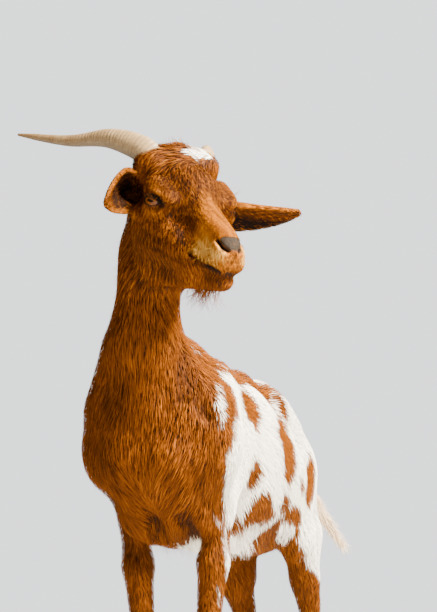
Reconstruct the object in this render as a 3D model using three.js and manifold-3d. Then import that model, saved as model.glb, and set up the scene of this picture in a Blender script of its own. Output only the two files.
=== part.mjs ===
// A standing spotted goat at life size, in millimetres. +Z is up, the floor is z = 0, the
// goat faces -Y and its left side is towards +X. The flesh is one smooth field built from
// tapered muscles and bones; each named part is that field's surface between thin cuts.
import * as THREE from "three";
import { LoftGeometry } from "three/addons/geometries/LoftGeometry.js";
import { mergeVertices } from "three/addons/utils/BufferGeometryUtils.js";
import Module from "manifold-3d";

const wasm = await Module();
wasm.setup();

// ---------------------------------------------------------------- driving dimensions
const GAP = 0.4; // clearance between neighbouring parts
const LEFT = 1;
const RIGHT = -1;

// Lengths here are from a point on the floor near the middle of the body. The last step
// moves the whole goat so that the origin is below the middle of its bounding box.

// The head is built level, facing -Y, about the joint below the skull, then turned.
const HEAD_JOINT = [8, -292, 758];
const HEAD_TURN = 48; // degrees towards the goat's left
const HEAD_DROP = 24; // degrees nose down
const HEAD_TILT = 4.5; // degrees, left side up

// Joints of each leg, from the top down. The right foreleg stands a little further back.
const FORELEG = {
  left: { elbow: [62, -190, 380], knee: [48, -202, 214], fetlock: [48, -198, 84], foot: [48, -214, 0] },
  right: { elbow: [-62, -186, 380], knee: [-46, -186, 214], fetlock: [-46, -180, 84], foot: [-46, -196, 0] },
};
const HINDLEG = {
  left: { stifle: [62, 160, 402], hock: [50, 282, 262], fetlock: [50, 268, 86], foot: [50, 250, 0] },
  right: { stifle: [-62, 160, 402], hock: [-52, 282, 262], fetlock: [-52, 268, 86], foot: [-52, 250, 0] },
};

// The left eye in the head's frame: its middle, the way it looks, and the gap of the lids.
const EYE = { place: [48.5, -90.5, 43], gaze: [0.85, -0.52, 0.08], radius: 15.5, opening: [12, 12, 8] };

// ---------------------------------------------------------------- flesh
// A muscle: start, end, start radius, end radius, flatness from side to side, blend.
// "pair" muscles are given for the left side and mirrored.
const TRUNK_FLESH = [
  [[0, -166, 496], [0, -30, 494], 108, 122, 0.76, 24],
  [[0, -30, 478], [0, 110, 474], 118, 106, 0.84, 24],
  [[0, -90, 586], [0, 40, 602], 28, 30, 0.9, 30],
  [[0, 40, 602], [0, 150, 614], 30, 32, 0.9, 30],
  [[0, 150, 562], [0, 250, 540], 66, 54, 0.8, 32],
  [[0, -176, 588], [0, -110, 592], 20, 20, 0.8, 22],
  [[0, -258, 430], [0, -190, 390], 42, 38, 0.95, 26],
  [[0, -200, 384], [0, -80, 386], 40, 38, 1, 26],
  [[-6, -222, 556], [-2, -256, 462], 77, 54, 0.9, 34],
];
const TRUNK_PAIRS = [
  [[34, 130, 600], [40, 186, 578], 20, 20, 0.9, 26],
  [[42, -146, 572], [80, -234, 480], 34, 40, 0.62, 22],
  [[60, -200, 552], [84, -244, 480], 26, 30, 0.7, 24],
  [[86, -250, 468], [82, -246, 450], 22, 21, 0.8, 20],
  [[78, -248, 452], [64, -190, 392], 30, 24, 0.8, 20],
  [[64, -128, 500], [66, -178, 406], 40, 24, 0.5, 24],
  [[32, -280, 444], [42, -222, 382], 32, 26, 0.9, 24],
  [[36, 218, 512], [52, 172, 420], 66, 42, 0.56, 26],
  [[20, 282, 530], [42, 262, 420], 32, 32, 0.8, 28],
  [[58, 84, 430], [60, 146, 408], 28, 26, 0.6, 26],
];
// The neck swings the head to the left, so its base is fuller on the right.
const NECK_FLESH = [
  [[-3, -250, 540], [-5, -294, 604], 66, 54, 0.86, 20],
  [[-5, -294, 604], [-2, -290, 720], 54, 52, 0.78, 16],
  [[-2, -290, 720], [6, -294, 780], 52, 48, 0.82, 20],
  [[-3, -292, 520], [0, -326, 680], 28, 20, 1, 20],
  [[58, -254, 512], [26, -290, 576], 36, 22, 0.95, 22],
  [[-67, -256, 524], [-43, -290, 592], 40, 28, 0.95, 22],
];
// The head's muscles are in its own frame.
const HEAD_FLESH = [
  [[0, -28, 50], [0, -85, 45], 47, 43, 0.95, 12],
  [[0, -40, 82], [0, -96, 54], 29, 28, 1, 14],
  [[0, -95, 24], [0, -203, -2], 37, 21, 0.84, 14],
  [[0, -100, 50], [0, -196, 14], 20, 11, 1, 12],
  [[0, -150, -42], [0, -203, -39], 17, 14, 1, 10],
  [[0, -40, -36], [0, -100, -46], 34, 20, 0.8, 16],
  [[0, 4, 30], [0, -16, 66], 36, 34, 0.95, 16],
];
const HEAD_PAIRS = [
  [[44, -76, 60], [43, -108, 50], 18, 14, 1, 10],
  [[48, -91, 44], [47, -95, 41], 18.5, 18, 1, 8],
  [[50, -56, 24], [36, -130, 4], 16, 14, 1, 14],
  [[36, -84, -6], [22, -160, -22], 27, 19, 0.9, 14],
  [[38, -56, 0], [34, -70, -42], 28, 22, 0.8, 14],
  [[29, -48, -50], [17, -150, -44], 20, 13, 0.9, 14],
  [[15, -165, -18], [8, -213, -16], 14, 12.5, 1, 8],
  [[9, -204, 0], [9, -207, -4], 11, 11, 1, 8],
  [[44, -4, 36], [50, -6, 38], 15, 11, 1, 12],
  [[28, -36, 78], [35, -34, 92], 23, 14, 1, 12],
  [[44, -36, 76], [48, -32, 84], 15, 13, 1, 12],
  [[6, -38, 98], [26, -36, 98], 19, 16, 1, 12],
];
function forelegFlesh({ elbow, knee, fetlock, foot }) {
  const forearm = between(elbow, knee, 0.35);
  const wrist = between(elbow, knee, 0.86);
  return [
    [elbow, forearm, 27, 24, 0.84, 16],
    [forearm, wrist, 24, 17, 0.9, 14],
    [shift(wrist, 0, 0, 2), shift(knee, 0, -1, -14), 17, 17.5, 0.95, 10],
    [shift(knee, 0, 0, -16), shift(fetlock, 0, 0, 16), 13.5, 12.5, 0.9, 12],
    [shift(fetlock, 0, 2, 6), shift(fetlock, 0, 2, -6), 15.5, 15.5, 1, 10],
    [shift(fetlock, 0, 0, -4), shift(foot, 0, 4, 30), 14.5, 15.5, 1, 10],
  ];
}
function hindlegFlesh({ stifle, hock, fetlock, foot }) {
  const calf = between(stifle, hock, 0.4);
  const tendon = between(stifle, hock, 0.85);
  return [
    [stifle, calf, 40, 28, 0.68, 20],
    [calf, shift(tendon, 0, -8, 0), 28, 17, 0.8, 16],
    [shift(stifle, -0.1 * stifle[0], 80, 16), shift(tendon, 0, 2, 30), 30, 12, 0.6, 22],
    [shift(calf, 0, 22, 6), shift(hock, 0, 16, 10), 15, 8, 0.8, 16],
    [shift(hock, 0, -10, 4), shift(hock, 0, -6, -16), 16.5, 16.5, 0.86, 12],
    [shift(hock, 0, 14, 12), shift(hock, 0, 8, -20), 9, 11, 0.9, 10],
    [shift(hock, 0, -6, -18), shift(fetlock, 0, 0, 16), 14.5, 13, 0.88, 12],
    [shift(fetlock, 0, 2, 6), shift(fetlock, 0, 2, -6), 15.5, 15.5, 1, 10],
    [shift(fetlock, 0, 0, -4), shift(foot, 0, 4, 30), 14.5, 15.5, 1, 10],
  ];
}
const TAIL_FLESH = [
  [[0, 296, 572], [2, 328, 548], 16, 15, 1.3, 16],
  [[2, 328, 548], [20, 350, 492], 14, 12, 1.3, 8],
  [[20, 350, 492], [58, 364, 430], 12, 7, 1.2, 8],
];

function between(a, b, t) {
  return a.map((v, i) => v + (b[i] - v) * t);
}
function shift(a, x, y, z) {
  return [a[0] + x, a[1] + y, a[2] + z];
}
function mirrored([a, b, ...rest]) {
  return [[-a[0], a[1], a[2]], [-b[0], b[1], b[2]], ...rest];
}

// ---------------------------------------------------------------- the field
const headGroup = new THREE.Group();
headGroup.position.set(...HEAD_JOINT);
headGroup.rotation.set(
  THREE.MathUtils.degToRad(HEAD_DROP),
  THREE.MathUtils.degToRad(-HEAD_TILT),
  THREE.MathUtils.degToRad(HEAD_TURN),
  "ZYX",
);
headGroup.updateMatrixWorld(true);
const intoHead = headGroup.matrixWorld.clone().invert();

// Turns rows of the tables into muscles with their size worked out once.
function muscles(rows) {
  return rows.map(([a, b, ra, rb, flat, blend]) => {
    const along = new THREE.Vector3(b[0] - a[0], b[1] - a[1], b[2] - a[2]);
    const reach = along.length() / 2 + Math.max(ra, rb) * Math.max(1, flat);
    along.x /= flat;
    return {
      a, along, ra, rb, flat, blend, reach,
      length2: Math.max(along.lengthSq(), 1e-9),
      middle: between(a, b, 0.5),
    };
  });
}
function distanceTo(m, x, y, z) {
  const px = (x - m.a[0]) / m.flat;
  const py = y - m.a[1];
  const pz = z - m.a[2];
  const t = Math.min(1, Math.max(0, (px * m.along.x + py * m.along.y + pz * m.along.z) / m.length2));
  return (
    Math.hypot(px - t * m.along.x, py - t * m.along.y, pz - t * m.along.z) - (m.ra + (m.rb - m.ra) * t)
  );
}
function joined(list, x, y, z, start) {
  let d = start;
  for (const m of list) {
    const far = Math.hypot(x - m.middle[0], y - m.middle[1], z - m.middle[2]) - m.reach;
    if (far > d + m.blend) continue;
    d = softMin(d, distanceTo(m, x, y, z), m.blend);
  }
  return d;
}
function softMin(a, b, k) {
  const h = Math.max(k - Math.abs(a - b), 0) / k;
  return Math.min(a, b) - (h * h * k) / 4;
}

const bodyMuscles = muscles([
  ...TRUNK_FLESH,
  ...TRUNK_PAIRS,
  ...TRUNK_PAIRS.map(mirrored),
  ...NECK_FLESH,
  ...TAIL_FLESH,
  ...forelegFlesh(FORELEG.left),
  ...forelegFlesh(FORELEG.right),
  ...hindlegFlesh(HINDLEG.left),
  ...hindlegFlesh(HINDLEG.right),
]);
const headMuscles = muscles([...HEAD_FLESH, ...HEAD_PAIRS, ...HEAD_PAIRS.map(mirrored)]);
const FAR = 1e3;
const HEAD_REACH = 250;
const NECK_BLEND = 26;
const local = new THREE.Vector3();
function flesh(x, y, z) {
  const body = joined(bodyMuscles, x, y, z, FAR);
  local.set(x, y, z).applyMatrix4(intoHead);
  if (local.length() > HEAD_REACH + 40) return body;
  return softMin(body, headFlesh(local.x, local.y, local.z), NECK_BLEND);
}
function headFlesh(x, y, z) {
  return joined(headMuscles, x, y, z, FAR);
}

// ---------------------------------------------------------------- surfaces of the field
function spaced(low, high, step) {
  const n = Math.max(2, Math.round((high - low) / step));
  return Array.from({ length: n + 1 }, (_, i) => low + ((high - low) * i) / n);
}

// The closed surface of `flesh` inside a grid of lines, one vertex to each cell that it
// crosses, moved onto the surface. `frame` places the grid in the goat's frame.
function surfaceIn([xs, ys, zs], frame = new THREE.Matrix4(), grow = 0) {
  const [nx, ny, nz] = [xs.length, ys.length, zs.length];
  const node = (i, j, k) => (i * ny + j) * nz + k;
  const point = new THREE.Vector3();
  const at = (x, y, z) => {
    point.set(x, y, z).applyMatrix4(frame);
    return flesh(point.x, point.y, point.z) - grow;
  };
  const value = new Float64Array(nx * ny * nz).fill(FAR);
  for (let i = 1; i < nx - 1; i++)
    for (let j = 1; j < ny - 1; j++)
      for (let k = 1; k < nz - 1; k++) value[node(i, j, k)] = at(xs[i], ys[j], zs[k]);

  const corners = [0, 1, 2, 3, 4, 5, 6, 7].map((c) => [c & 1, (c >> 1) & 1, c >> 2]);
  const edges = [];
  for (let a = 0; a < 8; a++) for (const bit of [1, 2, 4]) if (!(a & bit)) edges.push([a, a | bit]);
  // A cell that the surface crosses twice is filled at its nearest outer corner.
  const twice = (v) =>
    [true, false].some((side) => {
      const group = v.map((d, c) => (d < 0 === side ? c : -1));
      for (let pass = 0; pass < 3; pass++)
        for (const [a, b] of edges)
          if (group[a] >= 0 && group[b] >= 0) group[a] = group[b] = Math.min(group[a], group[b]);
      return new Set(group.filter((g) => g >= 0)).size > 1;
    });
  for (let again = true; again; ) {
    again = false;
    for (let i = 0; i < nx - 1; i++)
      for (let j = 0; j < ny - 1; j++)
        for (let k = 0; k < nz - 1; k++) {
          const nodes = corners.map(([a, b, c]) => node(i + a, j + b, k + c));
          const v = nodes.map((n) => value[n]);
          if (!v.some((d) => d < 0) || !twice(v)) continue;
          const lowest = Math.min(...v.filter((d) => d >= 0));
          value[nodes[v.indexOf(lowest)]] = -0.01;
          again = true;
        }
  }

  const vertices = [];
  const cellVertex = new Map();
  for (let i = 0; i < nx - 1; i++)
    for (let j = 0; j < ny - 1; j++)
      for (let k = 0; k < nz - 1; k++) {
        const v = corners.map(([a, b, c]) => value[node(i + a, j + b, k + c)]);
        const inside = v.filter((d) => d < 0).length;
        if (inside === 0 || inside === 8) continue;
        const sum = [0, 0, 0];
        let crossings = 0;
        for (const [a, b] of edges) {
          if (v[a] < 0 === v[b] < 0) continue;
          const t = v[a] / (v[a] - v[b]);
          const ca = corners[a];
          const cb = corners[b];
          sum[0] += xs[i + ca[0]] + (xs[i + cb[0]] - xs[i + ca[0]]) * t;
          sum[1] += ys[j + ca[1]] + (ys[j + cb[1]] - ys[j + ca[1]]) * t;
          sum[2] += zs[k + ca[2]] + (zs[k + cb[2]] - zs[k + ca[2]]) * t;
          crossings++;
        }
        const place = sum.map((s) => s / crossings);
        const rim = Math.max(...v) >= FAR;
        cellVertex.set(node(i, j, k), vertices.length / 3);
        vertices.push(...(rim ? place : settled(place, at)));
      }

  const index = [];
  const quad = (inward, a, b, c, d) => {
    const [p, q, r, s] = [a, b, c, d].map((cell) => cellVertex.get(cell));
    const [w, x, y, z] = inward ? [p, s, r, q] : [p, q, r, s];
    const gap = (m, n) =>
      Math.hypot(...[0, 1, 2].map((i) => vertices[3 * m + i] - vertices[3 * n + i]));
    if (gap(w, y) < gap(x, z)) index.push(w, x, y, w, y, z);
    else index.push(w, x, z, x, y, z);
  };
  for (let i = 0; i < nx - 1; i++)
    for (let j = 0; j < ny - 1; j++)
      for (let k = 0; k < nz - 1; k++) {
        const here = value[node(i, j, k)] < 0;
        if (here !== value[node(i + 1, j, k)] < 0)
          quad(!here, node(i, j - 1, k - 1), node(i, j, k - 1), node(i, j, k), node(i, j - 1, k));
        if (here !== value[node(i, j + 1, k)] < 0)
          quad(here, node(i - 1, j, k - 1), node(i, j, k - 1), node(i, j, k), node(i - 1, j, k));
        if (here !== value[node(i, j, k + 1)] < 0)
          quad(!here, node(i - 1, j - 1, k), node(i, j - 1, k), node(i, j, k), node(i - 1, j, k));
      }
  const geometry = new THREE.BufferGeometry();
  geometry.setAttribute("position", new THREE.Float32BufferAttribute(vertices, 3));
  geometry.setIndex(index);
  return solid(geometry.applyMatrix4(frame));
}

// Moves a point along the field's slope until it lies on the surface.
function settled(place, at) {
  const h = 0.5;
  let [x, y, z] = place;
  for (let pass = 0; pass < 3; pass++) {
    const d = at(x, y, z);
    const gx = (at(x + h, y, z) - at(x - h, y, z)) / (2 * h);
    const gy = (at(x, y + h, z) - at(x, y - h, z)) / (2 * h);
    const gz = (at(x, y, z + h) - at(x, y, z - h)) / (2 * h);
    const step = Math.max(-4, Math.min(4, d / Math.max(gx * gx + gy * gy + gz * gz, 0.05)));
    x -= gx * step;
    y -= gy * step;
    z -= gz * step;
  }
  return [x, y, z];
}

// ---------------------------------------------------------------- solids
function solid(geometry) {
  const bare = new THREE.BufferGeometry();
  bare.setAttribute("position", geometry.attributes.position);
  bare.setIndex(geometry.index);
  const merged = mergeVertices(bare, 1e-3);
  return new wasm.Manifold(
    new wasm.Mesh({
      numProp: 3,
      vertProperties: merged.attributes.position.array,
      triVerts: new Uint32Array(merged.index.array),
    }),
  );
}
function geometryOf(made) {
  const mesh = made.getMesh();
  const geometry = new THREE.BufferGeometry();
  geometry.setAttribute("position", new THREE.Float32BufferAttribute(mesh.vertProperties, 3));
  geometry.setIndex([...mesh.triVerts]);
  geometry.computeVertexNormals();
  return geometry;
}
// A box with its centre, size and turn (degrees), grown by `grow` all round.
function box(centre, size, turn, grow, frame = new THREE.Matrix4()) {
  const geometry = new THREE.BoxGeometry(...size.map((s) => s + 2 * grow));
  const rotation = new THREE.Euler(...turn.map(THREE.MathUtils.degToRad));
  const place = new THREE.Matrix4().makeRotationFromEuler(rotation).setPosition(...centre);
  return solid(geometry.applyMatrix4(place).applyMatrix4(frame));
}
function ball(centre, radius, frame) {
  const geometry = new THREE.SphereGeometry(radius, 11, 7);
  return solid(geometry.translate(...centre).applyMatrix4(frame));
}
// The largest piece of a cut solid: a cut can leave slivers of the surface beyond it.
function largest(made) {
  return made.decompose().sort((a, b) => b.volume() - a.volume())[0];
}

// ---------------------------------------------------------------- cuts
// Each flesh part is kept inside its own box; its neighbours keep clear by GAP.
const headFrame = headGroup.matrixWorld;
const NECK_BASE = { place: [0, -262, 555], turn: 51.5 };
const cuts = {
  head: (grow) => box([0, -142, 58], [300, 300, 280], [-6, 0, 0], grow, headFrame),
  neck: (grow) => {
    const turn = THREE.MathUtils.degToRad(NECK_BASE.turn);
    const centre = shift(NECK_BASE.place, 0, -300 * Math.sin(turn), 300 * Math.cos(turn));
    return box(centre, [500, 700, 600], [NECK_BASE.turn, 0, 0], grow);
  },
  tail: (grow) => box([30, 444, 500], [160, 200, 300], [0, 0, 0], grow),
  foreleg: (side, grow) => legBox([side * 66, -188, 380], side, 44, 260, grow),
  hindleg: (side, grow) => legBox([side * 66, 170, 398], side, 40, 340, grow),
};
// A deep box whose top face passes through `place`, rising outwards by `slope` degrees.
function legBox(place, side, slope, depth, grow) {
  const s = Math.sin(THREE.MathUtils.degToRad(slope));
  const c = Math.cos(THREE.MathUtils.degToRad(slope));
  const upper = shift(place, side * s * 300, 0, -c * 300);
  return box(upper, [900, depth, 600], [0, -side * slope, 0], grow).trimByPlane([side, 0, 0], 4 + grow);
}

const HEAD_GRID = [
  spaced(-90, 90, 12.5),
  [...spaced(-250, -140, 10.5), ...spaced(-127, 40, 13.5)],
  spaced(-100, 134, 12),
];
const headSolid = surfaceIn(HEAD_GRID, headFrame).intersect(cuts.head(0));
const roundHead = surfaceIn(HEAD_GRID, headFrame, GAP);

// ---------------------------------------------------------------- ears, horns, eyes
// Frames along a path: a point, the way on, and two directions across it.
function framesAlong(points, across) {
  const curve = new THREE.CatmullRomCurve3(points.map((p) => new THREE.Vector3(...p)));
  return (t) => {
    const forward = curve.getTangentAt(t);
    const side = new THREE.Vector3(...across).projectOnPlane(forward).normalize();
    return { origin: curve.getPointAt(t), forward, side, up: forward.clone().cross(side) };
  };
}
function spot({ origin, side, up }, u, v) {
  return origin.clone().addScaledVector(side, u).addScaledVector(up, v);
}

// The left horn's axis in the head's frame and its thickness along it.
const HORN_PATH = [
  [32, -42, 84],
  [46, -22, 103],
  [74, 26, 111],
  [107, 86, 100],
  [150, 162, 98],
];
const HORN_DROP = { left: 8, right: 0 }; // the left horn grows a little lower
const HORN_RADIUS = [16.5, 16, 14, 11.2, 8.6, 7.2, 5.8, 4.4, 2];
function horn(side) {
  const drop = side > 0 ? HORN_DROP.left : HORN_DROP.right;
  const path = HORN_PATH.map(([x, y, z], i) => [side * x, y, z - (i > 0 ? drop : 0)]);
  const frameAt = framesAlong(path, [0, 0, 1]);
  const rings = 11;
  const sections = [];
  for (let i = 0; i <= rings; i++) {
    const t = i / rings;
    const frame = frameAt(t);
    const r = table(HORN_RADIUS, t);
    const loop = [];
    for (let j = 0; j < 8; j++) {
      const angle = (j / 8) * 2 * Math.PI;
      const keel = 1 + 0.16 * Math.max(0, Math.cos(angle)) ** 4;
      loop.push(spot(frame, r * 1.08 * keel * Math.cos(angle), r * 0.9 * Math.sin(angle)));
    }
    sections.push(loop);
  }
  return new LoftGeometry(sections, { closed: true, capStart: true, capEnd: true });
}
// Reads a list of equally spaced values at t from 0 to 1.
function table(list, t) {
  const at = t * (list.length - 1);
  const i = Math.min(list.length - 2, Math.floor(at));
  return list[i] + (list[i + 1] - list[i]) * (at - i);
}

// The ears: the middle line of each, and at each point half its width and how far it is
// cupped. They turn on their own, so each has its own line and its own way to open.
const EARS = {
  left: {
    path: [[50, -6, 38], [76, -30, 32], [106, -60, 32], [134, -88, 37], [155, -112, 44]],
    open: [0.05, -0.72, -0.7],
    breadth: 1,
  },
  right: {
    path: [[-46, -4, 42], [-66, -29, 48], [-90, -60, 50], [-115, -92, 44], [-136, -122, 36]],
    open: [0.78, -0.62, 0.1],
    breadth: 0.93,
  },
};
const EAR_WIDTH = [16, 24, 31, 35, 35, 31, 25, 17, 5];
const EAR_CUP = [26, 27, 24, 19, 15, 11, 8, 4, 1];
const EAR_THICK = [6, 5.5, 5, 4.6, 4.2, 4, 3.8, 3.4, 3];
function ear({ path, open, breadth }) {
  const frameAt = framesAlong(path, open);
  const rings = 8;
  const sections = [];
  for (let i = 0; i <= rings; i++) {
    const t = i / rings;
    const frame = frameAt(t);
    const half = breadth * table(EAR_WIDTH, t);
    const cup = table(EAR_CUP, t);
    const thick = Math.min(table(EAR_THICK, t), half);
    const loop = [];
    for (let j = 0; j <= 6; j++) {
      const w = Math.cos((j / 6) * Math.PI);
      loop.push(spot(frame, cup * w * w - cup / 2 - thick / 2, half * w));
    }
    for (let j = 1; j < 6; j++) {
      const w = -Math.cos((j / 6) * Math.PI);
      loop.push(spot(frame, cup * w * w - cup / 2 + thick / 2, half * w * 0.96));
    }
    sections.push(loop);
  }
  return new LoftGeometry(sections, { closed: true, capStart: true, capEnd: true });
}

// ---------------------------------------------------------------- feet
// One claw seen from above, left of the cleft: out from the cleft and forward from the
// middle of the foot. It narrows and leans back towards the coronet.
const CLAW = [[1, -19], [9, -22], [17, -17], [20, -4], [18, 10], [12, 21], [5, 26], [1, 22]];
const CORONET = 29;
const CORONET_RISE = 14; // degrees, higher in front
function claw([x, y], side) {
  const rise = Math.tan(THREE.MathUtils.degToRad(CORONET_RISE));
  const ring = (narrow, back, z) => {
    const loop = CLAW.map(([out, on]) => {
      const v = on * narrow - back;
      const height = z === 0 ? 0 : z + v * rise;
      return new THREE.Vector3(x + side * (1 + (out - 1) * narrow), y - v, height);
    });
    return side > 0 ? loop.reverse() : loop;
  };
  const sections = [ring(1, 0, 0), ring(0.96, 3, 11), ring(0.84, 7, CORONET)];
  return solid(new LoftGeometry(sections, { closed: true, capStart: true, capEnd: true }));
}
function belowCoronet([x, y], grow) {
  const tilt = THREE.MathUtils.degToRad(CORONET_RISE);
  const centre = [x, y - 100 * Math.sin(tilt), CORONET - 100 * Math.cos(tilt)];
  return box(centre, [200, 200, 200], [CORONET_RISE * -1, 0, 0], grow);
}
// A small horny knob behind the fetlock.
function dewclaw([x, y, z], side) {
  const frameAt = framesAlong([[x + side * 7, y + 8, z], [x + side * 9, y + 21, z - 13]], [1, 0, 0]);
  const ring = (t, r) => {
    const frame = frameAt(t);
    return [0, 1, 2, 3, 4].map((j) =>
      spot(frame, r * Math.cos((j * Math.PI) / 2.5), 0.8 * r * Math.sin((j * Math.PI) / 2.5)),
    );
  };
  const sections = [ring(0, 6.5), ring(1, 3.5)];
  return solid(new LoftGeometry(sections, { closed: true, capStart: true, capEnd: true }));
}

const goat = new THREE.Group();
const colours = {
  brown: [0x8f4a20, 0.8],
  white: [0xe6ded0, 0.85],
  horn: [0x9b8a70, 0.6],
  hoof: [0x4a4038, 0.6],
  eye: [0xb0752a, 0.15],
};
const materials = {};
for (const [name, [color, roughness]] of Object.entries(colours)) {
  materials[name] = new THREE.MeshStandardMaterial({ color, roughness, metalness: 0 });
}
function addPart(name, made, material, parent = goat) {
  const geometry = geometryOf(largest(made));
  if (parent === headGroup) geometry.applyMatrix4(intoHead);
  const mesh = new THREE.Mesh(geometry, materials[material]);
  mesh.name = name;
  parent.add(mesh);
}
// Places a shape made in the head's frame.
function onHead(geometry) {
  return solid(geometry.applyMatrix4(headFrame));
}

// The eye lies in a socket that opens between the lids.
const eyeBalls = {};
for (const [name, side] of [["left", LEFT], ["right", RIGHT]]) {
  const [x, y, z] = EYE.place;
  const opening = new THREE.SphereGeometry(1, 16, 12);
  const [outward, onward, upward] = EYE.gaze.map((g) => g * (EYE.radius + 2));
  opening.scale(...EYE.opening);
  opening.translate(side * (x + outward), y + onward, z + upward);
  eyeBalls[name] = {
    ball: ball([side * x, y, z], EYE.radius, headFrame),
    socket: ball([side * x, y, z], EYE.radius + GAP, headFrame).add(onHead(opening)),
  };
}
goat.add(headGroup);
addPart(
  "head",
  headSolid.subtract(eyeBalls.left.socket).subtract(eyeBalls.right.socket),
  "brown",
  headGroup,
);
for (const [name, side] of [["left", LEFT], ["right", RIGHT]]) {
  addPart("eye_" + name, eyeBalls[name].ball, "eye", headGroup);
  addPart("horn_" + name, onHead(horn(side)).subtract(roundHead).subtract(headSolid), "horn", headGroup);
  addPart("ear_" + name, onHead(ear(EARS[name])).subtract(roundHead).subtract(headSolid), "brown", headGroup);
}

const neckSolid = surfaceIn([spaced(-110, 110, 22), spaced(-400, -130, 22), spaced(400, 900, 26)])
  .subtract(cuts.head(GAP))
  .intersect(cuts.neck(0));
addPart("neck", neckSolid, "brown");

const legNames = [["left", LEFT], ["right", RIGHT]];
let trunk = surfaceIn([spaced(-160, 160, 29), spaced(-380, 380, 36), spaced(290, 680, 30)])
  .subtract(cuts.neck(GAP))
  .subtract(cuts.tail(GAP));
for (const [, side] of legNames) {
  trunk = trunk.subtract(cuts.foreleg(side, GAP)).subtract(cuts.hindleg(side, GAP));
}
addPart("trunk", trunk, "white");
addPart(
  "tail",
  surfaceIn([spaced(-50, 110, 12), spaced(300, 440, 12), spaced(420, 620, 12)]).intersect(cuts.tail(0)),
  "white",
);
for (const [name, side] of legNames) {
  const xs = side > 0 ? [2, 134] : [-134, -2];
  const legs = {
    fore: [FORELEG[name], [spaced(...xs, 12), spaced(-262, -118, 12), spaced(-14, 470, 26)], cuts.foreleg],
    hind: [HINDLEG[name], [spaced(...xs, 12.5), spaced(70, 350, 16), spaced(-14, 500, 28)], cuts.hindleg],
  };
  for (const [which, [joints, grid, cut]] of Object.entries(legs)) {
    const end = name + "_" + which;
    const leg = surfaceIn(grid).intersect(cut(side, 0)).subtract(belowCoronet(joints.foot, GAP));
    addPart(which + "leg_" + name, leg, "brown");
    const roundLeg = surfaceIn(grid, new THREE.Matrix4(), GAP);
    for (const [place, outward] of [["outer", side], ["inner", -side]]) {
      addPart("claw_" + end + "_" + place, claw(joints.foot, outward), "hoof");
      const knob = dewclaw(joints.fetlock, outward).subtract(roundLeg).subtract(leg);
      addPart("dewclaw_" + end + "_" + place, knob, "hoof");
    }
  }
}

const bounds = new THREE.Box3().setFromObject(goat, true);
const middle = bounds.getCenter(new THREE.Vector3());
goat.position.set(-middle.x, -middle.y, 0);
export default goat;
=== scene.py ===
"""A standing spotted goat at life size: skin, coat, horns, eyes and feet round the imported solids.

The anatomy is worked out in millimetres from a point on the floor near the middle of the body,
as the solids are, and is moved into the frame and into metres at the end. The goat faces -Y
and its left side is towards +X.
"""

import math

import bmesh
import bpy
import numpy as np
from mathutils import Euler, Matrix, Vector


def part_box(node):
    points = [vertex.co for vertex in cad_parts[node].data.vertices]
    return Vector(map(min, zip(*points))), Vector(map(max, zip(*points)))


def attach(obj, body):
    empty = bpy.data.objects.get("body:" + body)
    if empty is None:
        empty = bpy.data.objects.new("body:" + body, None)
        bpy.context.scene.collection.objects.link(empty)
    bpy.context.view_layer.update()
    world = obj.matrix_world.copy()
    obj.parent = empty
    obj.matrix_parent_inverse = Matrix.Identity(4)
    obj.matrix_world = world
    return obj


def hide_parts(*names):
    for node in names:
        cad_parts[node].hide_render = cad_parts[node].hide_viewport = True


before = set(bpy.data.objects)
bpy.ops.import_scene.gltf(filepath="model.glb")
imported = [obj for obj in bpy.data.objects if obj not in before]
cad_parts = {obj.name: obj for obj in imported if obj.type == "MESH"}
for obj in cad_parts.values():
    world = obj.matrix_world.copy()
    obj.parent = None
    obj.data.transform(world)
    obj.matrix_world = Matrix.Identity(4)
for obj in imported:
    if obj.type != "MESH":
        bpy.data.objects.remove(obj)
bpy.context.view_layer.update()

MM = 0.001
FAR = 1000.0
LEFT, RIGHT = 1, -1
SIDES_OF_BODY = (("left", LEFT), ("right", RIGHT))
IRIS = 10.5  # radius of the iris on the eyeball
PUPIL_LONG, PUPIL_HIGH = 4.6, 1.7  # half the length and half the height of the pupil's bar


# ---------------------------------------------------------------- finishes


def linear(*tone):
    """A colour named by its screen values, 0 to 255, as the shader wants it."""
    return tuple((c / 255 / 12.92 if c < 10 else ((c / 255 + 0.055) / 1.055) ** 2.4) for c in tone) + (1.0,)


class Wire:
    """A shader value that can be added, multiplied and compared like a number."""

    def __init__(self, finish, socket):
        self.finish = finish
        self.socket = socket

    def maths(self, operation, *values):
        return self.finish.maths(operation, *values)

    def __add__(self, other):
        return self.maths("ADD", self, other)

    __radd__ = __add__

    def __sub__(self, other):
        return self.maths("SUBTRACT", self, other)

    def __rsub__(self, other):
        return self.maths("SUBTRACT", other, self)

    def __mul__(self, other):
        return self.maths("MULTIPLY", self, other)

    __rmul__ = __mul__

    def __truediv__(self, other):
        return self.maths("DIVIDE", self, other)

    def __pow__(self, other):
        return self.maths("POWER", self, other)

    def held(self, low=0.0, high=1.0):
        """Held between two values."""
        return self.maths("MINIMUM", self.maths("MAXIMUM", self, low), high)

    def step(self, low, high):
        """0 below low, 1 above high, smooth between them."""
        settings = {"interpolation_type": "SMOOTHSTEP"}
        return self.finish.node("ShaderNodeMapRange", settings, self, low, high, 0.0, 1.0)


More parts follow.
